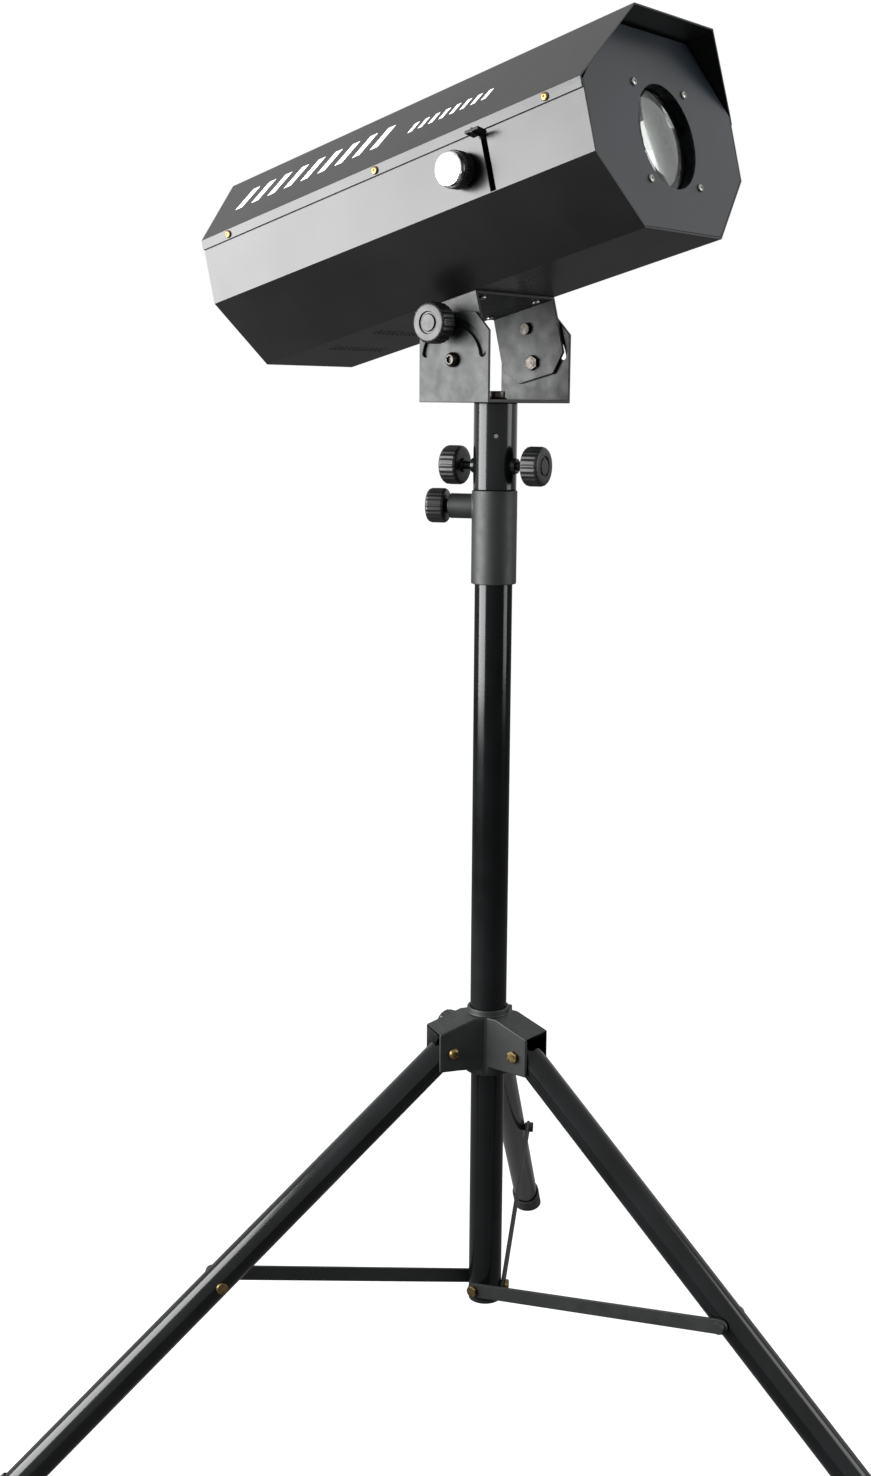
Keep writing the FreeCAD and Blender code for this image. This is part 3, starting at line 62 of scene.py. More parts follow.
def makeCamera(place):
    data = bpy.data.cameras.new("camera")
    data.sensor_width = place["sensor"]
    data.lens = place["focalPixels"] * place["sensor"] / place["imageHeight"]
    camera = bpy.data.objects.new("camera", data)
    bpy.context.scene.collection.objects.link(camera)
    pitch = math.radians(place["pitchDown"])
    roll = math.radians(place["roll"])
    right = Vector(place["right"]).normalized()
    level = Vector(place["forward"]).normalized()
    forward = level * math.cos(pitch) - Vector((0, 0, math.sin(pitch)))
    up = level * math.sin(pitch) + Vector((0, 0, math.cos(pitch)))
    turnedRight = right * math.cos(roll) + up * math.sin(roll)
    turnedUp = up * math.cos(roll) - right * math.sin(roll)
    rows = zip(turnedRight, turnedUp, -forward, Vector(place["position"]))
    camera.matrix_world = Matrix([list(row) for row in rows] + [[0, 0, 0, 1]])
    bpy.context.scene.camera = camera


makeCamera(cameraPlace)

# Materials

millimetre = 0.001


def linearColour(hexValue):
    channels = []
    for shift in (16, 8, 0):
        value = ((hexValue >> shift) & 255) / 255
        channels.append(value / 12.92 if value <= 0.04045 else ((value + 0.055) / 1.055) ** 2.4)
    return (*channels, 1)


def addNode(tree, kind, settings=None, links=None):
    node = tree.nodes.new(kind)
    for name, value in (settings or {}).items():
        if name in node.inputs:
            node.inputs[name].default_value = value
        else:
            setattr(node, name, value)
    for name, source in (links or {}).items():
        tree.links.new(source, node.inputs[name])
    return node


def newMaterial(name, shaderSettings):
    material = bpy.data.materials.new(name)
    material.use_nodes = True
    tree = material.node_tree
    tree.nodes.clear()
    shader = addNode(tree, "ShaderNodeBsdfPrincipled", shaderSettings)
    addNode(tree, "ShaderNodeOutputMaterial", links={"Surface": shader.outputs["BSDF"]})
    place = addNode(tree, "ShaderNodeTexCoord").outputs["Object"]
    return material, tree, shader, place


def cloud(tree, place, size, detail):
    # noise in patches of about the given size in metres
    noise = addNode(tree, "ShaderNodeTexNoise", {"Scale": 1 / size, "Detail": detail}, {"Vector": place})
    return noise.outputs["Fac"]


def mottle(tree, shader, place, size, dark, light):
    # base colour that wanders between two sRGB values
    ramp = addNode(tree, "ShaderNodeValToRGB", links={"Fac": cloud(tree, place, size, 4)})
    for element, position, colour in zip(ramp.color_ramp.elements, (0.35, 0.65), (dark, light)):
        element.position = position
        element.color = linearColour(colour)
    tree.links.new(ramp.outputs["Color"], shader.inputs["Base Color"])


def roughen(tree, shader, place, size, low, high):
    limits = {"From Min": 0.3, "From Max": 0.7, "To Min": low, "To Max": high}
    span = addNode(tree, "ShaderNodeMapRange", limits, {"Value": cloud(tree, place, size, 3)})
    tree.links.new(span.outputs["Result"], shader.inputs["Roughness"])


def emboss(tree, shader, height, distance, strength):
    bump = addNode(tree, "ShaderNodeBump", {"Distance": distance, "Strength": strength}, {"Height": height})
    tree.links.new(bump.outputs["Normal"], shader.inputs["Normal"])


def grain(tree, shader, place, size, distance, strength):
    emboss(tree, shader, cloud(tree, place, size, 2), distance, strength)


def glossEnamel():
    # stoved gloss enamel on steel tube: deep black, sharp streaks, a slight orange peel
    look, tree, shader, place = newMaterial("glossEnamel", {"IOR": 1.3})
    mottle(tree, shader, place, 60 * millimetre, 0x070808, 0x0e1011)
    roughen(tree, shader, place, 25 * millimetre, 0.13, 0.17)
    grain(tree, shader, place, 3 * millimetre, 0.02 * millimetre, 0.3)
    return look


def satinCasePaint():
    # satin powder coat on folded sheet: soft wide reflections, cloudy gloss, a very fine pebble
    look, tree, shader, place = newMaterial("satinCasePaint", {"IOR": 1.37})
    mottle(tree, shader, place, 90 * millimetre, 0x090909, 0x0f100f)
    roughen(tree, shader, place, 45 * millimetre, 0.27, 0.31)
    grain(tree, shader, place, 0.9 * millimetre, 0.02 * millimetre, 0.25)
    return look


def satinPlatePaint():
    # the same powder coat on flat plates, a little rougher and cooler
    look, tree, shader, place = newMaterial("satinPlatePaint", {"IOR": 1.42})
    mottle(tree, shader, place, 70 * millimetre, 0x0a1219, 0x111a23)
    roughen(tree, shader, place, 45 * millimetre, 0.32, 0.36)
    grain(tree, shader, place, 0.9 * millimetre, 0.02 * millimetre, 0.25)
    return look


def mattNylon():
    # glass-filled nylon of hub, collar and socket, matt and finely pitted; the coat of brackets and braces
    # looks the same
    look, tree, shader, place = newMaterial("mattNylon", {"IOR": 1.38})
    mottle(tree, shader, place, 40 * millimetre, 0x0d0f0f, 0x151818)
    roughen(tree, shader, place, 12 * millimetre, 0.46, 0.58)
    grain(tree, shader, place, 1.1 * millimetre, 0.06 * millimetre, 0.4)
    return look


def knobPlastic():
    # moulded ABS knobs, worn to a slight shine on their edges
    look, tree, shader, place = newMaterial("knobPlastic", {"IOR": 1.36})
    mottle(tree, shader, place, 20 * millimetre, 0x0b0c0c, 0x131414)
    roughen(tree, shader, place, 8 * millimetre, 0.34, 0.44)
    grain(tree, shader, place, 0.8 * millimetre, 0.03 * millimetre, 0.3)
    return look


def footRubber():
    # vulcanised rubber feet: dull, with a dusty bloom
    look, tree, shader, place = newMaterial("footRubber", {"IOR": 1.45})
    mottle(tree, shader, place, 15 * millimetre, 0x0f0f0f, 0x222221)
    roughen(tree, shader, place, 10 * millimetre, 0.65, 0.8)
    grain(tree, shader, place, 1.2 * millimetre, 0.08 * millimetre, 0.4)
    return look


def zincPlate():
    # bright zinc plated steel fasteners: grey metal with cloudy patches
    look, tree, shader, place = newMaterial("zincPlate", {"Metallic": 1})
    mottle(tree, shader, place, 3 * millimetre, 0x75756f, 0x9a9993)
    roughen(tree, shader, place, 2 * millimetre, 0.3, 0.45)
    return look


def blackenedSteel():
    # oiled black oxide on bolts and nuts: nearly black metal, browner where it is thin
    look, tree, shader, place = newMaterial("blackenedSteel", {"Metallic": 1})
    mottle(tree, shader, place, 2.5 * millimetre, 0x232221, 0x3b3835)
    roughen(tree, shader, place, 2 * millimetre, 0.28, 0.42)
    grain(tree, shader, place, 0.7 * millimetre, 0.03 * millimetre, 0.3)
    return look


def yellowZinc():
    # yellow passivated zinc screws: dull brass colour with a faint green and pink cloud
    look, tree, shader, place = newMaterial("yellowZinc", {"Metallic": 1})
    mottle(tree, shader, place, 2 * millimetre, 0x584a2e, 0x7c6a48)
    roughen(tree, shader, place, 2 * millimetre, 0.3, 0.45)
    return look


def castAlloy():
    # bare aluminium of the heat sink: pale, with cloudy patches
    look, tree, shader, place = newMaterial("castAlloy", {"Metallic": 1})
    mottle(tree, shader, place, 6 * millimetre, 0xa9abac, 0xcbcccd)
    roughen(tree, shader, place, 4 * millimetre, 0.28, 0.4)
    return look


def blackAnodised():
    # black anodised aluminium of the optics' holders: dark grey metal with a soft bloom, no glare
    look, tree, shader, place = newMaterial("blackAnodised", {"Metallic": 1})
    mottle(tree, shader, place, 8 * millimetre, 0x1c1d1f, 0x292b2d)
    roughen(tree, shader, place, 5 * millimetre, 0.38, 0.5)
    return look


def spunAlloy(centre):
    # turned aluminium cap of the dimmer knob: bright, with fine rings left by the tool
    look, tree, shader, place = newMaterial("spunAlloy", {"Metallic": 1})
    shift = tuple(-value for value in centre)
    moved = addNode(tree, "ShaderNodeMapping", {"Location": shift}, {"Vector": place})
    mottle(tree, shader, place, 5 * millimetre, 0xc9cacb, 0xe2e3e3)
    roughen(tree, shader, place, 5 * millimetre, 0.16, 0.24)
    pitch = 5.5 * millimetre
    turning = {"wave_type": "RINGS", "rings_direction": "X", "Scale": 1 / pitch, "Distortion": 0}
    rings = addNode(tree, "ShaderNodeTexWave", turning, {"Vector": moved.outputs["Vector"]})
    emboss(tree, shader, rings.outputs["Fac"], 0.02 * millimetre, 0.3)
    return look


def crownGlass():
    # ground and polished crown glass: clear, a faint green at the edge
    clear = {"IOR": 1.52, "Transmission Weight": 1, "Base Color": linearColour(0xf4faf6)}
    look, tree, shader, place = newMaterial("crownGlass", clear)
    roughen(tree, shader, place, 40 * millimetre, 0.0, 0.012)
    return look


def boardMask():
    # white solder mask of the lamp board, slightly glossy
    look, tree, shader, place = newMaterial("boardMask", {"Roughness": 0.4})
    mottle(tree, shader, place, 5 * millimetre, 0xd9dcd6, 0xe9ebe6)
    return look


def galvanisedCase():
    # hot dip galvanised sheet of the supply: flakes of lighter and darker zinc
    look, tree, shader, place = newMaterial("galvanisedCase", {"Metallic": 1})
    cells = addNode(tree, "ShaderNodeTexVoronoi", {"Scale": 1 / (9 * millimetre)}, {"Vector": place})
    ramp = addNode(tree, "ShaderNodeValToRGB", links={"Fac": cells.outputs["Color"]})
    ramp.color_ramp.elements[0].color = linearColour(0x8d9092)
    ramp.color_ramp.elements[1].color = linearColour(0xb3b6b8)
    tree.links.new(ramp.outputs["Color"], shader.inputs["Base Color"])
    roughen(tree, shader, place, 9 * millimetre, 0.35, 0.5)
    return look


def redPolycarbonate():
    # translucent looking red rocker, moulded and glossy
    look, tree, shader, place = newMaterial("redPolycarbonate", {"Roughness": 0.2})
    mottle(tree, shader, place, 10 * millimetre, 0x9c1512, 0xb41d18)
    return look


def paleInk():
    # screen printed off-white ink, a little patchy
    look, tree, shader, place = newMaterial("paleInk", {"IOR": 1.45})
    mottle(tree, shader, place, 4 * millimetre, 0xdadbd8, 0xf0f1ef)
    roughen(tree, shader, place, 6 * millimetre, 0.4, 0.5)
    return look


# looks by the slot's name in the record, then the looks that single nodes take instead
looks = {
    "gloss_tube": glossEnamel(),
    "matte_cast": mattNylon(),
    "case_paint": satinCasePaint(),
    "plate_paint": satinPlatePaint(),
    "zinc": zincPlate(),
    "brass_screw": yellowZinc(),
    "black_plastic": knobPlastic(),
    "rubber": footRubber(),
    "nylon": mattNylon(),
    "alloy": castAlloy(),
    "glass": crownGlass(),
    "board": boardMask(),
    "supply_case": galvanisedCase(),
    "red_rocker": redPolycarbonate(),
}
extraLooks = {"black": blackenedSteel(), "ink": paleInk(), "anodised": blackAnodised()}
blackBolts = ("yoke_bolt", "pivot_bolts", "far_lock_bolt")
passivatedBolts = ("leg_pins", "post_bolts", "brace_bolt_left", "brace_bolt_front", "brace_bolt_rear")
glossPaint = ("socket_tube",)
anodisedHolders = (
    "lens_mount", "lens_retainer", "iris_housing", "iris_plate", "condenser_plate", "condenser_cell",
)
for nodeName, node in nodes.items():
    for slot in node.material_slots:
        slot.material = looks[slot.material.name.split(".")[0]]
        if nodeName in blackBolts:
            slot.material = extraLooks["black"]
        if nodeName in passivatedBolts:
            slot.material = looks["brass_screw"]
        if nodeName in anodisedHolders:
            slot.material = extraLooks["anodised"]
        if nodeName in glossPaint:
            slot.material = looks["gloss_tube"]
print("materials on", len(nodes), "nodes")

# Shaping

bodies = frame["record"]["behaviour"]["bodies"]
bodyOf = {node: body for body, names in bodies.items() for node in names}
sameSpot = 1e-6  # metres between corners that count as one


def finishPiece(name, shape, node, look, smoothAngle=32, replaced=True):
    bmesh.ops.recalc_face_normals(shape, faces=shape.faces)
    mesh = bpy.data.meshes.new(name)
    shape.to_mesh(mesh)
    shape.free()
    mesh.materials.append(look)
    mesh.shade_smooth()
    mesh.set_sharp_from_angle(angle=math.radians(smoothAngle))
    piece = bpy.data.objects.new(name, mesh)
    bpy.context.scene.collection.objects.link(piece)
    evened = piece.modifiers.new("evened", "WEIGHTED_NORMAL")
    evened.keep_sharp = True
    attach(piece, bodyOf[node])
    if replaced:
        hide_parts(node)


def facing(point, axis):
    turn = Vector((0, 0, 1)).rotation_difference(Vector(axis)).to_matrix().to_4x4()
    return Matrix.Translation(point) @ turn


def openEdges(verts):
    # edges at these corners with a face on one side only, each once and always in the same order
    return list(dict.fromkeys(edge for vert in verts for edge in vert.link_edges if edge.is_boundary))


def turnRings(shape, rings, place, segments=48, flutes=24):
    # closed solid from rings of (height, radius, flats, depth of the flutes) in millimetres, low end first
    made = bmesh.ops.create_circle(shape, cap_ends=True, segments=segments, radius=1)["verts"]
    every = list(made)
    for index, ring in enumerate(rings):
        height, radius, flats, depth = (*ring, 0, 0)[:4]
        if index:
            pulled = bmesh.ops.extrude_edge_only(shape, edges=openEdges(made))["geom"]
            made = [item for item in pulled if isinstance(item, bmesh.types.BMVert)]
            every += made
        for vert in made:
            angle = math.atan2(vert.co.y, vert.co.x)
            reach = radius
            if flats:
                step = 2 * math.pi / flats
                reach = radius / math.cos(angle % step - step / 2)
            reach -= depth * (0.5 + 0.5 * math.cos(flutes * angle))
            vert.co = Vector((math.cos(angle) * reach, math.sin(angle) * reach, height)) * millimetre
    bmesh.ops.contextual_create(shape, geom=openEdges(made))
    bmesh.ops.transform(shape, matrix=place, verts=every)


def lumpsOf(node):
    # corners of each separate solid of a node
    shape = bmesh.new()
    shape.from_mesh(nodes[node].data)
    bmesh.ops.remove_doubles(shape, verts=shape.verts, dist=sameSpot)
    seen = set()
    lumps = []
    for start in shape.verts:
        if start in seen:
            continue
        seen.add(start)
        group = [start]
        for vert in group:
            for edge in vert.link_edges:
                other = edge.other_vert(vert)
                if other not in seen:
                    seen.add(other)
                    group.append(other)
        lumps.append([vert.co.copy() for vert in group])
    shape.free()
    return lumps


def offAxis(point, middle, axis):
    return (point - middle - axis * (point - middle).dot(axis)).length


def lineThrough(points, axes):
    # middle, axis and the two ends in millimetres of a turned solid, along the axis it fits best
    low = Vector([min(point[side] for point in points) for side in range(3)])
    high = Vector([max(point[side] for point in points) for side in range(3)])
    middle = (low + high) / 2
    best = None
    for axis in axes:
        along = Vector(axis).normalized()
        spread = max(offAxis(point, middle, along) for point in points)
        if best is None or spread < best[0]:
            best = (spread, along)
    reach = [(point - middle).dot(best[1]) / millimetre for point in points]
    return middle, best[1], min(reach), max(reach)


# Softened edges of folded, cast and moulded pieces

# radii in millimetres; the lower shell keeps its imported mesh, as rounding left dark wedges on it
edgeRounding = {
    "top_cover": 0.35, "front_plate": 0.45, "rear_plate": 0.45, "yoke_bracket": 0.6, "head_bracket": 0.6,
    "leg_hub": 1.4, "collar_clamp": 1.1, "socket_tube": 0.9,
    "brace_left": 0.5, "brace_front": 0.5, "brace_rear": 0.5,
    "lens_mount": 0.6, "lens_retainer": 0.5, "iris_lever": 0.4,
    "foot_left": 1.2, "foot_front": 1.2, "foot_rear": 1.2,
    "leg_left": 0.3, "leg_front": 0.3, "leg_rear": 0.3,
    "brace_bolt_left": 1.1, "brace_bolt_front": 1.1, "brace_bolt_rear": 1.1, "post_bolts": 1.1,
    "far_lock_bolt": 0.7, "yoke_bolt": 0.8, "bracket_screws": 0.6,
    "mains_inlet": 0.4, "switch_housing": 0.4, "power_rocker": 0.5, "fan_frame": 0.6, "fan_rotor": 0.4,
    "iris_housing": 0.5, "mast_plug": 0.5, "lower_tube_plug": 0.5, "dimmer_control": 0.3,
}
softening = {
    "sliver": 1e-5,  # metres, edges shorter than this go first
    "flatAngle": 0.6,  # degrees, facets that differ by less become one face
    "sharpAngle": 38,  # degrees, edges sharper than this are rounded
    "smallestFace": 1e-9,  # square metres
    "segments": 2,
}


def softenNode(node, rounding):
    shape = bmesh.new()
    shape.from_mesh(nodes[node].data)
    bmesh.ops.remove_doubles(shape, verts=shape.verts, dist=sameSpot)
    bmesh.ops.dissolve_degenerate(shape, dist=softening["sliver"], edges=shape.edges)
    bmesh.ops.dissolve_limit(
        shape, angle_limit=math.radians(softening["flatAngle"]), verts=shape.verts, edges=shape.edges)
    sharp = [
        edge for edge in shape.edges
        if edge.is_manifold and edge.calc_face_angle(0) > math.radians(softening["sharpAngle"])
        and min(face.calc_area() for face in edge.link_faces) > softening["smallestFace"]
    ]
    bmesh.ops.bevel(
        shape, geom=sharp, offset=rounding * millimetre, segments=softening["segments"], profile=0.5,
        affect="EDGES", clamp_overlap=False, material=-1)
    look = nodes[node].material_slots[0].material
    finishPiece(node + "Softened", shape, node, look)


for softNode, rounding in edgeRounding.items():
    softenNode(softNode, rounding)
print("edges softened on", len(edgeRounding), "pieces")

# Clamp knobs with a scalloped rim, a ring sunk in the face and a threaded screw

clampKnobs = {
    "hub_lock_knob": {"joint": "hub_knob_turn", "radius": 16, "neck": 6.5},
    "collar_lock_knob": {"joint": "collar_knob_turn", "radius": 16, "neck": 6.5},
    "socket_knob_left": {"joint": "socket_knob_left_turn", "radius": 18, "neck": 6.5},
    "socket_knob_right": {"joint": "socket_knob_right_turn", "radius": 18, "neck": 6.5},
    "tilt_lock_knob": {"joint": "tilt_knob_turn", "radius": 18, "neck": 11, "neckStart": 0.2},
}
knobShape = {
    "length": 18,
    "scallops": 24,
    "scallopDepth": 0.65,
    "recess": 9.5,
    "recessWidth": 2,
    "recessDepth": 1.4,
    "screw": 4,
    "pointLength": 0.8,
    "threadPitch": 1.25,
    "threadDepth": 0.5,
    "neckLength": 2,
}


def makeClampKnob(node, knob, look):
    joint = jointByName[knob["joint"]]
    axis = Vector(joint["axis"]).normalized()
    origin = Vector(joint["pos_m"])
    reach = [(vert.co - origin).dot(axis) / millimetre for vert in nodes[node].data.vertices]
    face = max(reach)
    back = face - knobShape["length"]
    neckStart = knob.get("neckStart", back - knobShape["neckLength"])
    # threaded screw
    screw = knobShape["screw"]
    height = min(reach) + knobShape["pointLength"]
    rings = [(min(reach), screw - 1), (height, screw)]
    while height + knobShape["threadPitch"] < neckStart:
        rings.append((height + knobShape["threadPitch"] / 2, screw - knobShape["threadDepth"]))
        height += knobShape["threadPitch"]
        rings.append((height, screw))
    neck = knob["neck"]
    rings += [
        (neckStart, screw), (neckStart, neck - 0.6), (neckStart + 0.6, neck),
        (back - 0.4, neck), (back, neck + 0.5),
    ]
    # scalloped rim
    radius = knob["radius"]
    deep = knobShape["scallopDepth"]
    rings += [
        (back, radius - 3.4), (back + 0.4, radius - 1.6),
        (back + 1.4, radius - 0.5, 0, deep * 0.5), (back + 2.6, radius, 0, deep),
        (face - 3.6, radius, 0, deep), (face - 1.8, radius - 0.5, 0, deep * 0.7),
        (face - 0.6, radius - 1.7, 0, deep * 0.2), (face - 0.1, radius - 3.2),
    ]
    # face with its sunk ring
    recess = knobShape["recess"]
    hollow = recess - knobShape["recessWidth"]
    floor = face - knobShape["recessDepth"]
    rings += [
        (face - 0.1, recess + 0.4), (face - 0.4, recess), (floor, recess - 0.3),
        (floor, hollow + 0.3), (face - 0.4, hollow), (face, hollow - 0.5),
    ]
    shape = bmesh.new()
    scallops = knobShape["scallops"]
    turnRings(shape, rings, facing(origin, axis), segments=6 * scallops, flutes=scallops)
    finishPiece(node + "Turned", shape, node, look)


for knobNode, knob in clampKnobs.items():
    makeClampKnob(knobNode, knob, looks["black_plastic"])
print("clamp knobs made")

# Dimmer knob: black knurled skirt with a bright turned cap

dimmerShape = {
    "radius": 15.5,
    "length": 17,
    "spindle": 2.9,
    "knurls": 36,
    "knurlDepth": 0.5,
    "capRadius": 14,
    "capHeight": 6,
}


def makeDimmerKnob():
    joint = jointByName["dimmer_turn"]
    axis = Vector(joint["axis"])
    origin = Vector(joint["pos_m"])
    reach = [(vert.co - origin).dot(axis) / millimetre for vert in nodes["dimmer_knob"].data.vertices]
    face = max(reach)
    back = face - dimmerShape["length"]
    shoulder = face - dimmerShape["capHeight"]
    radius = dimmerShape["radius"]
    spindle = dimmerShape["spindle"]
    knurl = dimmerShape["knurlDepth"]
    cap = dimmerShape["capRadius"]
    skirt = bmesh.new()
    rings = [
        (min(reach), spindle), (back, spindle), (back, radius - 1), (back + 0.6, radius, 0, knurl),
        (shoulder - 0.8, radius, 0, knurl), (shoulder, radius - 0.9), (shoulder, cap - 1),
    ]
    knurls = dimmerShape["knurls"]
    turnRings(skirt, rings, facing(origin, axis), segments=5 * knurls, flutes=knurls)
    finishPiece("dimmerSkirt", skirt, "dimmer_knob", looks["black_plastic"])
    top = bmesh.new()
    rings = [
        (shoulder - 0.5, cap - 0.6), (shoulder + 0.3, cap), (face - 1.6, cap), (face - 0.5, cap - 0.5),
        (face - 0.05, cap - 1.7), (face - 0.05, cap - 2.4), (face - 0.35, cap - 2.8),
        (face - 0.35, cap - 3.4), (face, cap - 3.8), (face, 2),
    ]
    turnRings(top, rings, facing(origin, axis), segments=128)
    finishPiece("dimmerCap", top, "dimmer_knob", spunAlloy(origin), replaced=False)


makeDimmerKnob()

# Screws and bolts

tiltSide = Vector(jointByName["iris_turn"]["axis"]).normalized()
legAxes = [jointByName[name]["axis"] for name in ("leg_fold", "leg_fold_left", "leg_fold_rear")]
fastenerAxes = [(1, 0, 0), (0, 0, 1), tuple(tiltSide), *legAxes]
screwShape = {
    "head": 3.5,
    "headHeight": 2,
    "shank": 2,
    "top": 0.62,  # radius of the head's flat top, in head radii
    "cross": 0.36,  # reach of the cross, in head radii
    "slotHalf": 0.32,  # half width of the cross's arms, in its reach
    "slotDepth": 1.1,
}
boltShapes = {
    "leg_pins": {
        "head": 5.5, "headHeight": 4, "shank": 3, "nutHeight": 4, "socket": 2.4, "socketDepth": 1.7,
    },
    "pivot_bolts": {
        "head": 6.5, "headHeight": 6, "shank": 4, "nutHeight": 4, "socket": 3, "socketDepth": 2.5,
    },
}


def addCrossScrew(shape, point, axis, length):
    # pan head with a cross recess: a 5 by 5 grid whose middle cross is pressed in
    head = screwShape["head"]
    shank = screwShape["shank"]
    under = -screwShape["headHeight"]
    made = bmesh.ops.create_grid(shape, x_segments=5, y_segments=5, size=1)["verts"]
    faces = list(dict.fromkeys(face for vert in made for face in vert.link_faces))
    crossFaces = []
    for face in faces:
        middle = face.calc_center_median()
        cells = sorted((abs(round(middle.x / 0.4)), abs(round(middle.y / 0.4))))
        if cells[0] == 0 and cells[1] <= 1:
            crossFaces.append(face)
    rim = openEdges(made)
    rimVerts = {vert for edge in rim for vert in edge.verts}
    for vert in made:
        corner = vert.co.to_2d()
        if vert in rimVerts:
            flat = corner.normalized() * head * screwShape["top"]
        else:
            shares = [1 if abs(value) > 0.3 else screwShape["slotHalf"] for value in corner]
            signed = [math.copysign(share, value) for share, value in zip(shares, corner)]
            flat = Vector(signed) * head * screwShape["cross"]
        vert.co = Vector((flat.x, flat.y, 0))
    pressed = bmesh.ops.extrude_face_region(shape, geom=crossFaces)["geom"]
    sunk = [item for item in pressed if isinstance(item, bmesh.types.BMVert)]
    bmesh.ops.translate(shape, verts=sunk, vec=(0, 0, -screwShape["slotDepth"]))
    bmesh.ops.delete(shape, geom=crossFaces, context="FACES_ONLY")
    every = list(made) + sunk
    rings = [(head * 0.86, -0.35), (head, -1.1), (head, under), (shank, under), (shank, -length)]
    for radius, height in rings:
        pulled = bmesh.ops.extrude_edge_only(shape, edges=rim)["geom"]
        verts = [item for item in pulled if isinstance(item, bmesh.types.BMVert)]
        rim = [item for item in pulled if isinstance(item, bmesh.types.BMEdge)]
        rim = [edge for edge in rim if all(vert in verts for vert in edge.verts)]
        for vert in verts:
            flat = vert.co.to_2d().normalized() * radius
            vert.co = Vector((flat.x, flat.y, height))
        every += verts
    bmesh.ops.contextual_create(shape, geom=rim)
    size = Matrix.Scale(millimetre, 4)
    bmesh.ops.transform(shape, matrix=facing(point, axis) @ size, verts=every)


def makeScrews(node, look, outward=None):
    # heads at the end that points outward, by default away from the middle plane
    shape = bmesh.new()
    for points in lumpsOf(node):
        middle, axis, low, high = lineThrough(points, fastenerAxes)
        side = outward or Vector((middle.x, 0, 0))
        if axis.dot(side) < 0:
            axis, low, high = -axis, -high, -low
        addCrossScrew(shape, middle + axis * high * millimetre, axis, high - low)
    finishPiece(node + "Crossed", shape, node, look)


def makeBolts(node, bolt, look):
    # hexagon nut at the inner end, button head with a hexagon socket at the outer end
    head = bolt["head"]
    shank = bolt["shank"]
    shape = bmesh.new()
    for points in lumpsOf(node):
        middle, axis, low, high = lineThrough(points, fastenerAxes)
        if axis.dot(Vector((middle.x, 0, 0))) < 0:
            axis, low, high = -axis, -high, -low
        shoulder = low + bolt["nutHeight"]
        seat = high - bolt["headHeight"]
        rings = [
            (low, shank), (low + 0.5, shank + 0.1), (low + 0.6, head - 0.9, 6), (low + 1, head - 0.3, 6),
            (shoulder, head - 0.3, 6), (shoulder, shank), (seat, shank), (seat, head),
            (high - bolt["headHeight"] * 0.55, head), (high - bolt["headHeight"] * 0.2, head - 1),
            (high, head - 2.3), (high, bolt["socket"], 6),
            (high - bolt["socketDepth"], bolt["socket"] - 0.1, 6),
        ]
        turnRings(shape, rings, facing(middle, axis), segments=36)
    finishPiece(node + "Headed", shape, node, look, smoothAngle=28)


makeScrews("cover_screws", looks["brass_screw"])
makeScrews("lens_screws", looks["zinc"], outward=tiltSide)
makeBolts("leg_pins", boltShapes["leg_pins"], looks["brass_screw"])
makeBolts("pivot_bolts", boltShapes["pivot_bolts"], extraLooks["black"])
print("screws and bolts made")

# Front lens, ground smooth

lensShape = {"radius": 48, "chamfer": 0.6, "rings": 14}


def makeLens():
    points = [vert.co.copy() for vert in nodes["front_lens"].data.vertices]
    middle, axis, low, high = lineThrough(points, [tuple(tiltSide)])
    radius = lensShape["radius"]
    rim = [point for point in points if offAxis(point, middle, axis) > 0.99 * radius * millimetre]
    edge = max((point - middle).dot(axis) / millimetre for point in rim)
    bulge = high - edge
    curve = (radius * radius + bulge * bulge) / (2 * bulge)
    rings = [(low, radius - lensShape["chamfer"]), (low + lensShape["chamfer"], radius), (edge, radius)]
    for step in range(1, lensShape["rings"]):
        across = radius * (1 - step / lensShape["rings"])
        rings.append((high - curve + math.sqrt(curve * curve - across * across), across))
    shape = bmesh.new()
    turnRings(shape, rings, facing(middle, axis), segments=96)
    finishPiece("groundLens", shape, "front_lens", looks["glass"])


makeLens()

# Pale slanted dashes on the upper slanted panel

# rows run forward between two distances behind the head's front, in millimetres; "up" is the height on the
# panel's slope as a share of it
dashRows = {
    "wide": {"from": 392, "to": 204, "pitch": 21, "size": (9, 25), "up": 0.53},
    "narrow": {"from": 186, "to": 96, "pitch": 11.5, "size": (5, 11), "up": 0.45},
    "lean": 0.45,
    "thickness": 0.12,
    "sunk": 0.4,  # share of the thickness inside the panel
}
headShape = {
    "pivot": (0, 0, 1048.092),
    "frontToPivot": 212,
    "abovePivot": 51,
    "height": 174,
    "width": 240,
    "corner": 57,
}


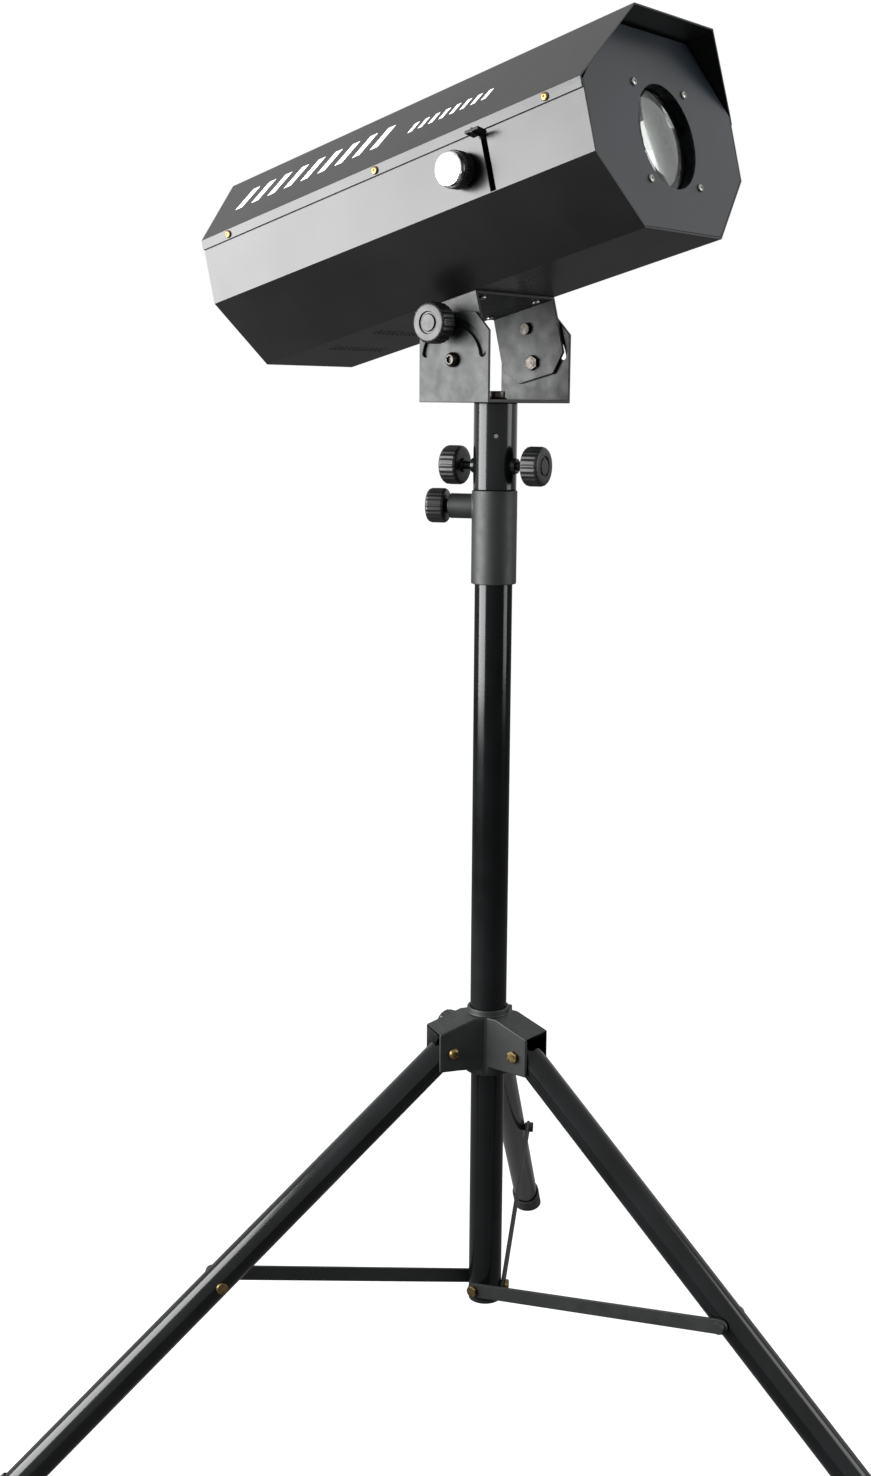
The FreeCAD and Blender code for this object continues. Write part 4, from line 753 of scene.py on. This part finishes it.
def makeDashes():
    tilt = Matrix.Rotation(math.atan2(-tiltSide.z, -tiltSide.y), 4, "X")
    head = Matrix.Scale(millimetre, 4) @ Matrix.Translation(Vector(headShape["pivot"])) @ tilt
    # columns of the panel: along it to the rear, up its slope, out of it
    outward = Vector((-1, 0, 1)).normalized()
    panel = Matrix(((0, 1, 0), Vector((1, 0, 1)).normalized(), outward)).transposed().to_4x4()
    lowX = -headShape["width"] / 2
    lowZ = headShape["abovePivot"] + headShape["height"] - headShape["corner"]
    thickness = dashRows["thickness"]
    shape = bmesh.new()
    for row in (dashRows["wide"], dashRows["narrow"]):
        count = int((row["from"] - row["to"]) / row["pitch"]) + 1
        for index in range(count):
            made = bmesh.ops.create_grid(shape, x_segments=1, y_segments=1, size=0.5)["verts"]
            bmesh.ops.scale(shape, vec=(row["size"][0], row["size"][1], 1), verts=made)
            for vert in made:
                vert.co.x -= vert.co.y * dashRows["lean"]
            face = made[0].link_faces[0]
            base = bmesh.ops.extrude_face_region(shape, geom=[face])["geom"]
            raised = [item for item in base if isinstance(item, bmesh.types.BMVert)]
            bmesh.ops.translate(shape, verts=raised, vec=(0, 0, thickness))
            behind = row["from"] - index * row["pitch"]
            along = row["up"] * headShape["corner"]
            spot = Vector((lowX + along, behind - headShape["frontToPivot"], lowZ + along))
            panel.translation = spot - outward * thickness * dashRows["sunk"]
            bmesh.ops.transform(shape, matrix=head @ panel, verts=list(made) + raised)
    finishPiece("panelDashes", shape, "top_cover", extraLooks["ink"], replaced=False)


makeDashes()
print("dashes laid on the panel")

# Floor and light

studio = {
    "centre": (0, 0, 0.95),
    "floorSize": 30,
    "floorColour": 0x6c6c6c,
    "floorSeen": 0.94,  # glow of the floor straight from the camera, which makes it white
    "floorMirrored": 0.03,  # glow of the floor in gloss and glass, where its own grey shows
    "leftBox": {"toward": (-0.81, 0.585, 0.06), "away": 1.75, "size": (1.5, 1.25), "power": 132},
    "rightBox": {"toward": (0.45, -0.9, 0.1), "away": 1.8, "size": (0.8, 1.3), "power": 22},
    "worldFill": 0.45,
}


def larger(tree, first, second):
    both = addNode(tree, "ShaderNodeMath", {"operation": "MAXIMUM"})
    tree.links.new(first, both.inputs[0])
    tree.links.new(second, both.inputs[1])
    return both.outputs[0]


def scaled(tree, source, factor):
    product = addNode(tree, "ShaderNodeMath", {"operation": "MULTIPLY"})
    tree.links.new(source, product.inputs[0])
    product.inputs[1].default_value = factor
    return product.outputs[0]


def makeFloor(size, colour, seen, mirrored):
    # a matt floor that takes shadows and glows by how it is looked at
    mesh = bpy.data.meshes.new("floor")
    shape = bmesh.new()
    bmesh.ops.create_circle(shape, cap_ends=True, segments=96, radius=size / 2)
    shape.to_mesh(mesh)
    shape.free()
    floor = bpy.data.objects.new("floor", mesh)
    bpy.context.scene.collection.objects.link(floor)
    material = bpy.data.materials.new("paleStudioFloor")
    material.use_nodes = True
    tree = material.node_tree
    tree.nodes.clear()
    path = addNode(tree, "ShaderNodeLightPath")
    inGloss = larger(tree, path.outputs["Is Glossy Ray"], path.outputs["Is Transmission Ray"])
    matt = addNode(tree, "ShaderNodeBsdfDiffuse", {"Color": linearColour(colour)})
    fromCamera = scaled(tree, path.outputs["Is Camera Ray"], seen)
    level = larger(tree, fromCamera, scaled(tree, inGloss, mirrored))
    light = addNode(tree, "ShaderNodeEmission", links={"Strength": level})
    both = addNode(tree, "ShaderNodeAddShader")
    tree.links.new(matt.outputs[0], both.inputs[0])
    tree.links.new(light.outputs[0], both.inputs[1])
    addNode(tree, "ShaderNodeOutputMaterial", links={"Surface": both.outputs[0]})
    mesh.materials.append(material)


def makeSoftbox(name, box, centre):
    data = bpy.data.lights.new(name, "AREA")
    data.shape = "RECTANGLE"
    data.size, data.size_y = box["size"]
    data.energy = box["power"]
    lamp = bpy.data.objects.new(name, data)
    bpy.context.scene.collection.objects.link(lamp)
    toward = Vector(box["toward"]).normalized()
    lamp.location = Vector(centre) + toward * box["away"]
    lamp.rotation_euler = toward.to_track_quat("Z", "Y").to_euler()


def makeWorld(fill):
    # white wherever it is seen or mirrored, dimmer as the light that fills the shadows
    world = bpy.data.worlds.new("studioWorld")
    bpy.context.scene.world = world
    world.use_nodes = True
    tree = world.node_tree
    tree.nodes.clear()
    path = addNode(tree, "ShaderNodeLightPath")
    inGloss = larger(tree, path.outputs["Is Glossy Ray"], path.outputs["Is Transmission Ray"])
    seen = larger(tree, path.outputs["Is Camera Ray"], inGloss)
    level = addNode(tree, "ShaderNodeMapRange", {"To Min": fill, "To Max": 1}, {"Value": seen})
    white = {"Color": (1, 1, 1, 1)}
    light = addNode(tree, "ShaderNodeBackground", white, {"Strength": level.outputs["Result"]})
    addNode(tree, "ShaderNodeOutputWorld", links={"Surface": light.outputs[0]})


makeFloor(studio["floorSize"], studio["floorColour"], studio["floorSeen"], studio["floorMirrored"])
makeSoftbox("leftSoftbox", studio["leftBox"], studio["centre"])
makeSoftbox("rightSoftbox", studio["rightBox"], studio["centre"])
makeWorld(studio["worldFill"])
bpy.context.scene.view_settings.view_transform = "Standard"
print("studio ready")
